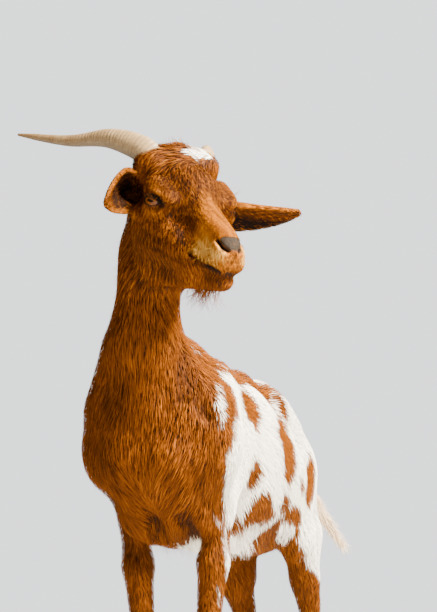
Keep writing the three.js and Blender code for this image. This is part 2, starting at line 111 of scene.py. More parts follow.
class Finish:
    """A material of this goat's, built node by node."""

    def __init__(self, name, roughness, **fixed):
        self.material = bpy.data.materials.new(name)
        self.material.use_nodes = True
        self.nodes = self.material.node_tree.nodes
        self.links = self.material.node_tree.links
        self.surface = self.nodes["Principled BSDF"]
        self.surface.inputs["Roughness"].default_value = roughness
        for socket, value in fixed.items():
            self.surface.inputs[socket.replace("_", " ")].default_value = value

    def join(self, value, socket):
        if isinstance(value, Wire):
            self.links.new(value.socket, socket)
        else:
            socket.default_value = value

    def node(self, kind, settings=None, *values, output=0, **named):
        """One node of any kind: its settings first, then its sockets by order or by name."""
        made = self.nodes.new(kind)
        for key, value in (settings or {}).items():
            setattr(made, key, value)
        for socket, value in zip(made.inputs, values):
            self.join(value, socket)
        for socket, value in named.items():
            self.join(value, made.inputs[socket.replace("_", " ")])
        return Wire(self, made.outputs[output])

    def maths(self, operation, *values):
        return self.node("ShaderNodeMath", {"operation": operation}, *values)

    def attribute(self, name):
        return self.node("ShaderNodeAttribute", {"attribute_name": name}, output="Fac")

    def place(self):
        return self.node("ShaderNodeTexCoord", output="Object")

    def speckle(self, scale, detail=2.0, stretch=(1, 1, 1)):
        """A noise of the given grain, longer along any axis with a small stretch."""
        turned = self.node("ShaderNodeMapping", {}, self.place(), Scale=stretch)
        return self.node("ShaderNodeTexNoise", {}, Vector=turned, Scale=scale, Detail=detail)

    def blend(self, amount, one, other):
        """Two colours mixed."""
        made = self.nodes.new("ShaderNodeMix")
        made.data_type = "RGBA"
        for socket, value in zip((made.inputs[0], made.inputs[6], made.inputs[7]), (amount, one, other)):
            self.join(value, socket)
        return Wire(self, made.outputs[2])

    def bump(self, height, depth, strength=1.0, normal=None):
        made = self.nodes.new("ShaderNodeBump")
        made.inputs["Strength"].default_value = strength
        made.inputs["Distance"].default_value = depth
        self.join(height, made.inputs["Height"])
        if normal:
            self.join(normal, made.inputs["Normal"])
        return Wire(self, made.outputs[0])

    def set(self, **sockets):
        for socket, value in sockets.items():
            self.join(value, self.surface.inputs[socket.replace("_", " ")])
        return self.material


CHESTNUT = linear(118, 59, 2)
DEEP_RED = linear(34, 13, 0)
GOLD = linear(190, 112, 6)
PALE_GOLD = linear(232, 184, 92)
CREAM = linear(248, 243, 232)
SHADE_CREAM = linear(226, 212, 188)
SHADE_GOLD = linear(124, 62, 3)
SHADE_PALE_GOLD = linear(176, 112, 30)
# The near black of dark markings and of painted shade in folds, hollows and creases.
DARK_MARK_AND_SHADE = linear(20, 12, 8)


def hair_colour(finish, shade, tip):
    """The coat's colour from its markings: chestnut, gold and a near black for dark markings and painted
    shade, or cream; painted shade darkens each tuft towards its root and a painted gold highlight lights the
    tips of the lighter tufts.
    """
    white, dark, gold = (finish.attribute(name) for name in ("white", "dark", "gold"))
    patch = finish.speckle(38.0)
    # Painted shade: each tuft darker towards its root, as the shade between the tufts.
    depth = (shade * 1.5 + patch * 0.5 - 0.52 + tip * 0.3).held()
    brown = finish.blend(depth, DEEP_RED, CHESTNUT)
    # Painted highlight: gold on the tips of the lighter tufts.
    brown = finish.blend((shade - 0.62).held() * 2.0 * tip, brown, GOLD)
    brown = finish.blend((gold * 2).held(), brown, finish.blend(shade, SHADE_GOLD, GOLD))
    # Pale gold: the tail's own colour, and on the side of the muzzle its gold lightened as painted light.
    pale = finish.blend(shade, SHADE_PALE_GOLD, PALE_GOLD)
    brown = finish.blend((gold * 2 - 1).held(), brown, pale)
    # Dark markings, and painted shade where the dark attribute marks folds, hollows and creases.
    brown = finish.blend(dark, brown, DARK_MARK_AND_SHADE)
    cream = finish.blend(shade * 0.5 + patch * 0.5, SHADE_CREAM, CREAM)
    return finish.blend(white, brown, cream)


def coat_finish():
    finish = Finish("coat", 0.68, Specular_IOR_Level=0.06)
    return finish.set(Base_Color=hair_colour(finish, finish.attribute("shade"), finish.attribute("tip")))


def skin_finish():
    finish = Finish("skin", 0.68, Specular_IOR_Level=0.08)
    strand = finish.speckle(620.0, 3.0, (1, 1, 0.16))
    # Painted shade: the skin takes the colour of the hair's roots, darker, as the shade between the tufts.
    colour = hair_colour(finish, (strand * 1.2 - 0.3).held(), 0.0)
    bare = finish.attribute("bare")
    pad = finish.blend(finish.speckle(260.0, 3.0), linear(20, 15, 10), linear(54, 42, 30))
    colour = finish.blend(bare, colour, pad)
    grain = finish.node("ShaderNodeTexVoronoi", {}, finish.place(), Scale=900.0) * bare + strand * (1 - bare)
    return finish.set(Base_Color=colour, Normal=finish.bump(grain, 0.0006), Roughness=0.68 - bare * 0.1)


def horn_finish():
    finish = Finish("horn", 0.48, Specular_IOR_Level=0.4)
    along, under = finish.attribute("along"), finish.attribute("under")
    run = finish.attribute("run")
    ring = finish.node("ShaderNodeTexNoise", {"noise_dimensions": "1D"}, W=run, Scale=0.35, Detail=3.0)
    fibre = finish.speckle(70.0, 4.0, (1, 1, 3))
    base = finish.blend(along.step(0.1, 1), linear(146, 118, 80), linear(118, 86, 50))
    colour = finish.blend((ring * 2.2 - 0.8).held() * 0.7, base, linear(92, 76, 54))
    colour = finish.blend((fibre * 2.0 - 0.9).held() * 0.55, colour, linear(182, 154, 110))
    # Painted shade: the underside of the horn darker.
    colour = finish.blend(under.step(0.2, -0.8) * 0.6, colour, linear(74, 62, 46))
    return finish.set(Base_Color=colour, Normal=finish.bump(fibre + ring * 0.6, 0.0007))


def eyeball_finish():
    """Amber iris with a level bar for a pupil, darker at its rim and darker over its top as painted shade of
    the upper lid, on a dark brown ball darkened near black as painted shade of the socket, under a wet clear
    coat.
    """
    finish = Finish("eyeball", 0.35, Specular_IOR_Level=0.1, Coat_Weight=0.16, Coat_Roughness=0.04)
    across, upward = finish.attribute("across"), finish.attribute("upward")
    out = finish.maths("SQRT", across * across + upward * upward)
    spin = finish.maths("ARCTAN2", upward, across)
    rays = finish.node("ShaderNodeTexNoise", {"noise_dimensions": "2D"}, Scale=1.0, Detail=2.0,
                       Vector=finish.node("ShaderNodeCombineXYZ", {}, spin * 9, out * 0.25, 0.0))
    iris = finish.blend((rays * 1.6 - 0.3).held(), linear(50, 22, 4), linear(132, 74, 20))
    # Painted shade: the iris darker towards its top, as the shadow of the upper lid.
    iris = finish.blend(upward.step(0.5, 5) * 0.75, iris, linear(18, 9, 4))
    iris = finish.blend(out.step(IRIS - 2.5, IRIS), iris, linear(40, 20, 8))
    # The ball round the iris dark brown, darkened near black as painted shade of the socket.
    ball = finish.blend(out.step(IRIS - 0.5, IRIS + 0.5), iris, linear(26, 15, 9))
    bar = ((across / PUPIL_LONG) ** 4.0 + (upward / PUPIL_HIGH) ** 2.0).step(1.35, 0.8)
    return finish.set(Base_Color=finish.blend(bar, ball, linear(8, 6, 6)))


def hoof_finish():
    finish = Finish("hoof", 0.5, Specular_IOR_Level=0.4)
    height = finish.attribute("height")
    rings = finish.node("ShaderNodeTexNoise", {"noise_dimensions": "1D"}, W=height, Scale=0.9, Detail=3.0)
    streak = finish.speckle(240.0, 3.0, (1, 1, 0.12))
    colour = finish.blend(rings * 0.6 + streak * 0.4, linear(48, 36, 26), linear(112, 88, 62))
    colour = finish.blend(height.step(6, 0) * 0.5, colour, linear(128, 108, 82))
    return finish.set(Base_Color=colour, Normal=finish.bump(rings + streak * 0.5, 0.0006))


EYEBALL = eyeball_finish()
HOOF = hoof_finish()
COAT = coat_finish()
SKIN = skin_finish()
HORN = horn_finish()


# ---------------------------------------------------------------- anatomy, as the solids have it

HEAD_JOINT = np.array([8.0, -292.0, 758.0])
HEAD_TURN, HEAD_DROP, HEAD_TILT = 48, 24, 4.5
HEAD_AXES = np.array(
    Euler([math.radians(a) for a in (HEAD_DROP, -HEAD_TILT, HEAD_TURN)], "XYZ").to_matrix()
)
FORELEG = {
    "left": ((58, -194, 380), (48, -202, 214), (48, -198, 84), (48, -214, 0)),
    "right": ((-62, -186, 380), (-46, -186, 214), (-46, -180, 84), (-46, -196, 0)),
}
HINDLEG = {
    "left": ((62, 160, 402), (50, 282, 262), (50, 268, 86), (50, 250, 0)),
    "right": ((-62, 160, 402), (-52, 282, 262), (-52, 268, 86), (-52, 250, 0)),
}
TOE = 26  # from the middle of a foot to the tip of its claws

# A muscle: start, end, start radius, end radius, flatness from side to side, blend.
TRUNK = [
    ((0, -166, 496), (0, -30, 494), 108, 122, 0.76, 24),
    ((0, -30, 478), (0, 110, 474), 118, 106, 0.84, 24),
    ((0, -90, 586), (0, 40, 602), 28, 30, 0.9, 30),
    ((0, 40, 602), (0, 150, 614), 30, 32, 0.9, 30),
    ((0, 150, 562), (0, 250, 540), 66, 54, 0.8, 32),
    ((0, -176, 586), (0, -110, 590), 18, 18, 0.8, 14),
    ((0, -258, 430), (0, -190, 390), 42, 38, 0.95, 26),
    ((0, -200, 384), (0, -80, 386), 40, 38, 1, 26),
    ((-6, -222, 556), (-2, -256, 462), 77, 54, 0.9, 36),
    ((-44, -257, 506), (-38, -265, 470), 37, 37, 0.95, 30),
    ((-30, -276, 489), (38, -266, 487), 40, 36, 1, 22),
]
TRUNK_PAIRS = [
    ((34, 130, 600), (40, 186, 578), 20, 20, 0.9, 26),
    ((42, -146, 572), (80, -234, 480), 34, 40, 0.62, 24),
    ((60, -200, 552), (84, -244, 480), 26, 30, 0.7, 26),
    ((86, -250, 468), (82, -246, 450), 22, 21, 0.8, 22),
    ((78, -248, 452), (62, -196, 392), 30, 21, 0.8, 20),
    ((64, -128, 500), (66, -178, 406), 40, 24, 0.5, 24),
    ((32, -280, 444), (42, -222, 382), 32, 26, 0.9, 30),
    ((44, -250, 520), (50, -253, 452), 37, 34, 0.9, 28),
    ((36, 218, 512), (52, 172, 420), 66, 42, 0.56, 26),
    ((20, 282, 530), (42, 262, 420), 32, 32, 0.8, 28),
    ((58, 84, 430), (60, 146, 408), 28, 26, 0.6, 26),
    ((44, 208, 408), (46, 232, 352), 30, 22, 0.75, 24),
]
NECK = [
    ((-3, -250, 540), (-5, -294, 604), 66, 54, 0.86, 20),
    ((-5, -294, 604), (2, -290, 720), 54, 50, 0.78, 16),
    ((2, -290, 720), (11, -294, 780), 50, 46, 0.82, 20),
    ((-3, -292, 520), (0, -326, 680), 28, 20, 1, 28),
    ((58, -254, 512), (26, -290, 576), 36, 22, 0.95, 22),
    ((-67, -256, 524), (-43, -290, 592), 40, 28, 0.95, 22),
]
TAIL = [
    ((0, 296, 572), (2, 328, 548), 16, 15, 1.3, 16),
    ((2, 328, 548), (25, 350, 495), 14, 12, 1.3, 8),
    ((25, 350, 495), (62, 364, 434), 12, 6, 1.2, 8),
]
# The head's muscles are in its own frame: level, facing -Y, about the joint below the skull.
HEAD = [
    ((0, -28, 50), (0, -85, 45), 47, 43, 0.95, 12),
    ((0, -40, 82), (0, -96, 54), 29, 28, 1, 14),
    ((0, -95, 24), (0, -203, -2), 37, 21, 0.84, 14),
    ((0, -100, 50), (0, -196, 14), 20, 11, 1, 12),
    ((0, -150, -42), (0, -203, -39), 17, 14, 1, 10),
    ((0, -40, -36), (0, -100, -46), 34, 20, 0.8, 16),
    ((0, 4, 30), (0, -16, 66), 36, 34, 0.95, 16),
]
HEAD_PAIRS = [
    ((44, -76, 60), (43, -108, 50), 18, 14, 1, 10),
    ((48, -91, 44), (47, -95, 41), 18.5, 18, 1, 8),
    ((49, -56, 24), (35, -130, 4), 15, 10.5, 1, 20),
    ((36, -84, -6), (22, -160, -22), 27, 19, 0.9, 14),
    ((38, -56, 0), (34, -70, -42), 28, 22, 0.8, 14),
    ((29, -48, -50), (17, -150, -44), 20, 13, 0.9, 14),
    ((15, -165, -18), (8, -213, -16), 14, 12.5, 1, 8),
    ((9, -204, 0), (9, -207, -4), 11, 11, 1, 8),
    ((44, -4, 36), (50, -6, 38), 15, 11, 1, 12),
    ((28, -36, 78), (35, -34, 92), 23, 14, 1, 12),
    ((44, -36, 76), (48, -32, 84), 15, 13, 1, 12),
    ((6, -38, 98), (26, -36, 98), 19, 16, 1, 12),
]
# Skin that climbs the roots of the horns, further on the left.
HORN_COLLARS = [
    ((36, -46, 92), (56, -22, 97), 15, 13, 1, 10),
    ((-34, -46, 90), (-42, -38, 90), 14, 11, 1, 10),
]
EYE_PLACE = np.array([48.5, -89.6, 42.6])
EYE_GAZE = np.array([0.85, -0.52, 0.08])
EYE_RADIUS = 15.5
EARS = {
    "left": (((49, -7, 40), (74, -32, 35), (104, -62, 37), (130, -89, 42), (150, -111, 48)),
             (0.05, -0.72, -0.7), 0.84),
    "right": (((-46, -4, 42), (-66, -29, 48), (-89, -60, 50), (-113, -92, 44), (-132, -119, 37)),
              (0.78, -0.62, 0.1), 0.77),
}
EAR_WIDTH = (16, 24, 31, 35, 35, 31, 25, 17, 5)
EAR_CUP = (26, 27, 24, 19, 15, 11, 8, 4, 1)
HORN_PATH = ((32, -42, 84), (46, -22, 103), (74, 26, 111), (107, 86, 100), (150, 162, 98))
HORN_DROP = {"left": 8, "right": 0}
HORN_RADIUS = (16.5, 16, 14, 11.2, 8.6, 7.2, 5.8, 4.4, 2)


def between(a, b, t):
    return tuple(u + (v - u) * t for u, v in zip(a, b))


def shift(a, x, y, z):
    return (a[0] + x, a[1] + y, a[2] + z)


def pastern(fetlock, foot):
    return [
        (shift(fetlock, 0, 2, 6), shift(fetlock, 0, 2, -6), 15.5, 15.5, 1, 10),
        (shift(fetlock, 0, 0, -4), shift(foot, 0, 4, 30), 14.5, 15.5, 1, 10),
    ]


def foreleg(elbow, knee, fetlock, foot):
    forearm, wrist = between(elbow, knee, 0.35), between(elbow, knee, 0.86)
    return [
        (elbow, forearm, 25, 23, 0.84, 16),
        (forearm, wrist, 23, 17, 0.9, 14),
        (shift(wrist, 0, 0, 2), shift(knee, 0, -1, -14), 17, 17.5, 0.95, 10),
        (shift(knee, 0, 0, -16), shift(fetlock, 0, 0, 16), 13.5, 12.5, 0.9, 12),
        *pastern(fetlock, foot),
    ]


def hindleg(stifle, hock, fetlock, foot):
    calf, tendon = between(stifle, hock, 0.4), between(stifle, hock, 0.85)
    return [
        (stifle, calf, 40, 28, 0.68, 20),
        (calf, shift(tendon, 0, -8, 0), 28, 17, 0.8, 16),
        (shift(stifle, -0.1 * stifle[0], 80, 16), shift(tendon, 0, 2, 30), 30, 12, 0.6, 22),
        (shift(calf, 0, 22, 6), shift(hock, 0, 16, 10), 15, 8, 0.8, 16),
        (shift(hock, 0, -10, 4), shift(hock, 0, -6, -16), 16.5, 16.5, 0.86, 12),
        (shift(hock, 0, 14, 12), shift(hock, 0, 8, -20), 9, 11, 0.9, 10),
        (shift(hock, 0, -6, -18), shift(fetlock, 0, 0, 16), 14.5, 13, 0.88, 12),
        *pastern(fetlock, foot),
    ]


def mirrored(path):
    return tuple((-x, y, z) for x, y, z in path)


def both_sides(rows):
    """Rows that start with two places, and the same rows on the other side of the body."""
    return rows + [(*mirrored((a, b)), *rest) for a, b, *rest in rows]


def both_paths(rows):
    """Rows that start with a line of places, and the same rows on the other side of the body."""
    return rows + [(mirrored(path), *rest) for path, *rest in rows]


def muscles(rows, softer=1.0):
    """The rows with their lengths, middles and reach worked out once, and their blends made softer."""
    made = []
    for a, b, ra, rb, flat, blend in rows:
        blend = blend * softer
        a, b = np.array(a, float), np.array(b, float)
        reach = np.linalg.norm(b - a) / 2 + max(ra, rb) * max(1, flat)
        along = (b - a) / (flat, 1, 1)
        made.append((a, along, max(along @ along, 1e-9), ra, rb, flat, blend, (a + b) / 2, reach))
    return made


def joined(rows, p):
    """Distance outside a soft union of muscles, and its slope, at the points p."""
    d = np.full(len(p), FAR)
    slope = np.zeros_like(p)
    for a, along, length2, ra, rb, flat, blend, middle, reach in rows:
        near = np.nonzero(np.linalg.norm(p - middle, axis=1) - reach <= d + blend)[0]
        if not len(near):
            continue
        q = (p[near] - a) / (flat, 1, 1)
        t = q @ along / length2
        inner = (t > 0) & (t < 1)
        t = np.clip(t, 0, 1)
        q -= t[:, None] * along
        r = np.maximum(np.linalg.norm(q, axis=1), 1e-6)
        here = r - (ra + (rb - ra) * t)
        g = (q / r[:, None] - (inner * (rb - ra) / length2)[:, None] * along) / (flat, 1, 1)
        h = np.maximum(blend - np.abs(d[near] - here), 0) / blend
        keep = np.where(d[near] < here, 1 - h / 2, h / 2)[:, None]
        slope[near] = keep * slope[near] + (1 - keep) * g
        d[near] = np.minimum(d[near], here) - h * h * blend / 4
    return d, slope


def soft_union(one, other, blend):
    """Two (distance, slope) fields as one."""
    h = np.maximum(blend - np.abs(one[0] - other[0]), 0) / blend
    keep = np.where(one[0] < other[0], 1 - h / 2, h / 2)[:, None]
    d = np.minimum(one[0], other[0]) - h * h * blend / 4
    return d, keep * one[1] + (1 - keep) * other[1]


def smoothly(x, low=0.0, high=1.0):
    t = np.clip((x - low) / (high - low), 0, 1)
    return t * t * (3 - 2 * t)


def path_through(points, count):
    """A smooth line through the points, as `count` places at equal steps."""
    p = np.array(points, float)
    p = np.vstack([2 * p[0] - p[1], p, 2 * p[-1] - p[-2]])
    fine = []
    for a, b, c, d in zip(p, p[1:], p[2:], p[3:]):
        t = np.linspace(0, 1, 30, endpoint=False)[:, None]
        fine.append(b + 0.5 * t * (c - a + t * (2 * a - 5 * b + 4 * c - d + t * (3 * (b - c) + d - a))))
    fine = np.vstack([*fine, p[-2:-1]])
    run = np.r_[0, np.cumsum(np.linalg.norm(np.diff(fine, axis=0), axis=1))]
    at = np.linspace(0, run[-1], count)
    return np.stack([np.interp(at, run, fine[:, k]) for k in range(3)], 1)


def frames_along(places, across):
    """Directions along a path, sideways (as near to `across` as it can be) and up."""
    on = np.gradient(places, axis=0)
    on /= np.linalg.norm(on, axis=1, keepdims=True)
    side = across - (on @ across)[:, None] * on
    side /= np.linalg.norm(side, axis=1, keepdims=True)
    return on, side, np.cross(on, side)


def along_table(values, t):
    return np.interp(t, np.linspace(0, 1, len(values)), values)


class Ear:
    """One ear as a cupped sheet in the head's frame."""

    STATIONS = 60  # places along the line of the ear
    THICK = 2.3  # half the thickness of its sheet

    def __init__(self, path, opening, breadth):
        self.places = path_through(path, self.STATIONS)
        self.on, self.side, self.up = frames_along(self.places, np.array(opening, float))
        self.breadth = breadth

    def coordinates(self, p):
        """How far along the ear (0 to 1), across it (-1 to 1), and out of its sheet on the open side."""
        gap = np.linalg.norm(p[:, None, :] - self.places[None], axis=2)
        i = gap.argmin(1)
        rel = p - self.places[i]
        step = np.linalg.norm(self.places[1] - self.places[0])
        beyond = (rel * self.on[i]).sum(1)
        t = np.clip(i / (self.STATIONS - 1) + beyond / step / (self.STATIONS - 1), 0, 1)
        half = self.breadth * along_table(EAR_WIDTH, t)
        u, v = (rel * self.side[i]).sum(1), (rel * self.up[i]).sum(1)
        past = np.where(i == 0, -beyond, np.where(i == self.STATIONS - 1, beyond, 0))
        return t, v / half, u, half, np.maximum(past, 0)

    def distance(self, p):
        t, w, u, half, beyond = self.coordinates(p)
        cup = along_table(EAR_CUP, t)
        inside = np.clip(w, -1, 1)
        off = u - (cup * inside**2 - cup / 2)
        lean = np.sqrt(1 + (2 * cup * inside / half) ** 2)
        past = np.maximum(np.abs(w) - 1, 0) * half
        sheet = np.hypot(off / np.where(past > 0, 1, lean), past)
        return np.hypot(sheet, beyond) - self.THICK

    def field(self, p):
        d = self.distance(p)
        h = 0.3
        rise = [self.distance(p + e) - self.distance(p - e) for e in np.eye(3) * h]
        return d, np.stack([each / (2 * h) for each in rise], 1)


GROUPS = {
    "trunk": muscles(TRUNK + both_sides(TRUNK_PAIRS), 1.2),
    "neck": muscles(NECK, 1.2),
    "tail": muscles(TAIL),
    "foreleg_left": muscles(foreleg(*FORELEG["left"])),
    "foreleg_right": muscles(foreleg(*FORELEG["right"])),
    "hindleg_left": muscles(hindleg(*HINDLEG["left"])),
    "hindleg_right": muscles(hindleg(*HINDLEG["right"])),
}
BODY_FLESH = [m for rows in GROUPS.values() for m in rows]
HEAD_FLESH = muscles(HEAD + HORN_COLLARS + both_sides(HEAD_PAIRS), 1.3)
EAR_SHEETS = {name: Ear(*parts) for name, parts in EARS.items()}
HEAD_REACH = 290
EAR_REACH = 100
NECK_BLEND = 20
EAR_BLEND = 9


def to_head(p):
    return (p - HEAD_JOINT) @ HEAD_AXES


def from_head(p):
    return p @ HEAD_AXES.T + HEAD_JOINT


SHORT_COAT = 2.6  # its depth on the legs and the face
BODY_COAT = 5.2
MUZZLE_COAT = 1.1


def coat_depth(p):
    """How far the skin lies inside the outline of the coat."""
    head = to_head(p)
    depth = SHORT_COAT + (BODY_COAT - SHORT_COAT) * smoothly(p[:, 2], 200, 400)
    face = smoothly(-head[:, 1], -30, 60) * smoothly(head[:, 2], -110, -60) * smoothly(p[:, 2], 600, 660)
    depth += face * (SHORT_COAT - depth)
    muzzle = smoothly(-head[:, 1], 150, 205) * smoothly(p[:, 2], 600, 640)
    depth += muzzle * (MUZZLE_COAT - depth)
    return depth


# A fold of the coat: places along it, depth (below 0 for a ridge) and width.
FOLDS = [
    (((-73, -250, 412), (-78, -222, 390), (-66, -212, 353), (-50, -210, 331)), 11, 9),
    (((-11, -246, 372), (-8, -238, 362)), 14, 10),
    (((35, -256, 380), (37, -232, 359), (35, -208, 342)), 11, 9),
    (((4, -240, 362), (17, -252, 373), (42, -266, 394), (64, -259, 410)), -5, 11),
    (((-34, -264, 386), (-24, -242, 362), (-30, -216, 342)), -4, 11),
    (((49, -294, 590), (48, -300, 556), (50, -297, 524)), 6.5, 9),
    (((56, -293, 552), (67, -288, 524), (76, -280, 500)), 6.5, 10),
    (((-49, -294, 590), (-50, -298, 556), (-52, -297, 524)), 4, 9),
]
HEAD_FOLDS = [
    (((57, -26, 2), (58, -49, -28), (54, -70, -56), (46, -84, -80)), 5, 8),
    (((47, -70, -60), (26, -86, -70), (0, -92, -74)), 3.5, 7),
]


def folds():
    rows = [(path_through(path, 24), *rest) for path, *rest in FOLDS]
    for path, depth, width in HEAD_FOLDS:
        for side in (LEFT, RIGHT):
            rows.append((from_head(path_through(path, 24) * (side, 1, 1)), depth, width))
    reaches = [np.ptp(fine, 0).max() / 2 + 3 * width for fine, _, width in rows]
    return [(fine, fine.mean(0), reach, *rest) for (fine, *rest), reach in zip(rows, reaches)]


FOLD_LINES = folds()


def folded(p):
    """How far the folds draw the skin in at each point."""
    sunk = np.zeros(len(p))
    for fine, middle, reach, depth, width in FOLD_LINES:
        near = np.nonzero((np.abs(p - middle) < reach + 12).all(1))[0]
        if len(near):
            gap2 = ((p[near, None, :] - fine[None]) ** 2).sum(2).min(1)
            sunk[near] += depth * np.exp(-gap2 / width**2)
    return sunk


def body_field(p):
    """Distance outside the skin, and its slope, without the ears."""
    body = joined(BODY_FLESH, p)
    local = to_head(p)
    near = np.nonzero(np.linalg.norm(local, axis=1) < HEAD_REACH)[0]
    if len(near):
        d, g = joined(HEAD_FLESH, local[near])
        both = soft_union((body[0][near], body[1][near]), (d, g @ HEAD_AXES.T), NECK_BLEND)
        body[0][near], body[1][near] = both
    return body[0] + coat_depth(p) + folded(p), body[1]


def skin_field(p):
    """Distance outside the skin, and its slope, with the ears."""
    d, g = body_field(p)
    local = to_head(p)
    for ear in EAR_SHEETS.values():
        near = np.nonzero(np.linalg.norm(local - ear.places[ear.STATIONS // 2], axis=1) < EAR_REACH)[0]
        if len(near):
            e, eg = ear.field(local[near])
            d[near], g[near] = soft_union((d[near], g[near]), (e, eg @ HEAD_AXES.T), EAR_BLEND)
    return d, g


def in_chunks(function, p, size=150000):
    """A function of many points, worked out for some of them at a time."""
    parts = [function(p[i : i + size]) for i in range(0, len(p), size)]
    return tuple(np.concatenate(each) for each in zip(*parts))


def settled(p, passes=4):
    """The points moved along the field's slope until they lie on the skin."""
    for _ in range(passes):
        d, g = in_chunks(skin_field, p)
        step = d / np.maximum((g * g).sum(1), 0.15)
        p = p - g * np.clip(step, -6, 6)[:, None]
    return p


# ---------------------------------------------------------------- the skin as a mesh


def lines(*runs):
    """Grid lines from runs of (start, end, step)."""
    made = []
    for start, end, step in runs:
        made.extend(np.linspace(start, end, max(2, round((end - start) / step) + 1))[:-1])
    made.append(runs[-1][1])
    return np.array(made)


SKIN_GRID = (
    lines((-150, -52, 5), (-52, 36, 2.6), (36, 220, 4.6)),
    lines((-492, -232, 2.8), (-232, 400, 6)),
    lines((14, 130, 5), (130, 690, 6), (690, 880, 2.8)),
)
COARSE = 4
NEAR_SKIN = 42  # the fine grid is worked out only this near to the skin


def grid_values(axes, field):
    """The field at every grid corner near the surface, and its sign only elsewhere."""
    rough = [np.r_[axis[::COARSE], axis[-1]] if (len(axis) - 1) % COARSE else axis[::COARSE] for axis in axes]
    corners = np.stack(np.meshgrid(*rough, indexing="ij"), -1)
    shape = corners.shape[:3]
    far = in_chunks(lambda p: (field(p)[0],), corners.reshape(-1, 3))[0].reshape(shape)
    nearest = np.full([n - 1 for n in shape], FAR)
    for i in (0, 1):
        for j in (0, 1):
            for k in (0, 1):
                part = far[i : i + shape[0] - 1, j : j + shape[1] - 1, k : k + shape[2] - 1]
                nearest = np.minimum(nearest, np.abs(part))
    where = nearest < NEAR_SKIN
    cell = [np.minimum(np.arange(len(axis)) // COARSE, n - 2) for axis, n in zip(axes, shape)]
    wanted = where[np.ix_(*cell)]
    for axis in range(3):
        back = [np.minimum(np.maximum((np.arange(len(a)) - (n == axis)) // COARSE, 0), m - 2)
                for n, (a, m) in enumerate(zip(axes, shape))]
        wanted |= where[np.ix_(*back)]
    values = far[np.ix_(*cell)].copy()
    at = np.argwhere(wanted)
    points = np.stack([axes[k][at[:, k]] for k in range(3)], 1)
    values[wanted] = in_chunks(lambda p: (field(p)[0],), points)[0]
    return values


def surface_net(axes, field):
    """Vertices and outward-facing quads of the field's zero surface."""
    v = grid_values(axes, field)
    inside = v < 0
    cells = [n - 1 for n in v.shape]
    count = sum(
        inside[i : i + cells[0], j : j + cells[1], k : k + cells[2]].astype(np.int8)
        for i in (0, 1) for j in (0, 1) for k in (0, 1)
    )
    crossed = (count > 0) & (count < 8)
    number = np.full(cells, -1)
    number[crossed] = np.arange(crossed.sum())
    at = np.argwhere(crossed)
    total, hits = np.zeros((len(at), 3)), np.zeros(len(at))
    for axis in range(3):
        others = [n for n in range(3) if n != axis]
        for s in (0, 1):
            for t in (0, 1):
                low = at.copy()
                low[:, others[0]] += s
                low[:, others[1]] += t
                high = low.copy()
                high[:, axis] += 1
                a, b = v[tuple(low.T)], v[tuple(high.T)]
                cut = (a < 0) != (b < 0)
                f = np.where(cut, a / np.where(cut, a - b, 1), 0)[:, None]
                pa = np.stack([axes[k][low[:, k]] for k in range(3)], 1)
                pb = np.stack([axes[k][high[:, k]] for k in range(3)], 1)
                total += cut[:, None] * (pa + f * (pb - pa))
                hits += cut
    points = total / hits[:, None]
    quads = []
    for axis in range(3):
        u, w = (axis + 1) % 3, (axis + 2) % 3
        low = [slice(None)] * 3
        high = [slice(None)] * 3
        low[axis], high[axis] = slice(0, -1), slice(1, None)
        change = inside[tuple(low)] != inside[tuple(high)]
        e = np.argwhere(change)
        e = e[(e[:, u] > 0) & (e[:, w] > 0) & (e[:, u] < cells[u]) & (e[:, w] < cells[w])]
        leaving = inside[tuple(e.T)]
        ring = []
        for du, dw in ((-1, -1), (0, -1), (0, 0), (-1, 0)):
            c = e.copy()
            c[:, u] += du
            c[:, w] += dw
            ring.append(number[tuple(c.T)])
        ring = np.stack(ring, 1)
        quads.append(np.where(leaving[:, None], ring, ring[:, ::-1]))
    return points, np.vstack(quads)


def into_frame():
    """Where the anatomy's middle stands in the frame, as the left fore claws say."""
    inner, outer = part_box("claw_left_fore_inner"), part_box("claw_left_fore_outer")
    foot = FORELEG["left"][3]
    x = (min(inner[0].x, outer[0].x) + max(inner[1].x, outer[1].x)) / 2 - foot[0] * MM
    y = min(inner[0].y, outer[0].y) - (foot[1] - TOE) * MM
    return np.array([x, y, 0.0])


OFFSET = into_frame()


def metres(p):
    return p * MM + OFFSET


def set_out(name, data):
    """An object of the scene's own, unturned at the origin."""
    made = bpy.data.objects.new(name, data)
    bpy.context.scene.collection.objects.link(made)
    return made


def write_values(mesh, values):
    """Numbers for each point of a mesh, by name, for its finish to read."""
    for label, numbers in values.items():
        layer = mesh.attributes.new(label, "FLOAT", "POINT")
        layer.data.foreach_set("value", np.ascontiguousarray(numbers, np.float32))


def mesh_piece(name, points, faces, finish, **values):
    """A piece from points in millimetres and faces of equal size, riding on the body."""
    mesh = bpy.data.meshes.new(name)
    faces = np.ascontiguousarray(faces, np.int32)
    corners = faces.shape[1]
    mesh.vertices.add(len(points))
    mesh.vertices.foreach_set("co", np.ascontiguousarray(metres(points), np.float32).ravel())
    mesh.loops.add(faces.size)
    mesh.loops.foreach_set("vertex_index", faces.ravel())
    mesh.polygons.add(len(faces))
    mesh.polygons.foreach_set("loop_start", np.arange(len(faces), dtype=np.int32) * corners)
    mesh.polygons.foreach_set("loop_total", np.full(len(faces), corners, np.int32))
    mesh.polygons.foreach_set("use_smooth", np.ones(len(faces), bool))
    mesh.update(calc_edges=True)
    write_values(mesh, values)
    mesh.materials.append(finish)
    piece = set_out(name, mesh)
    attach(piece, "root")
    return piece


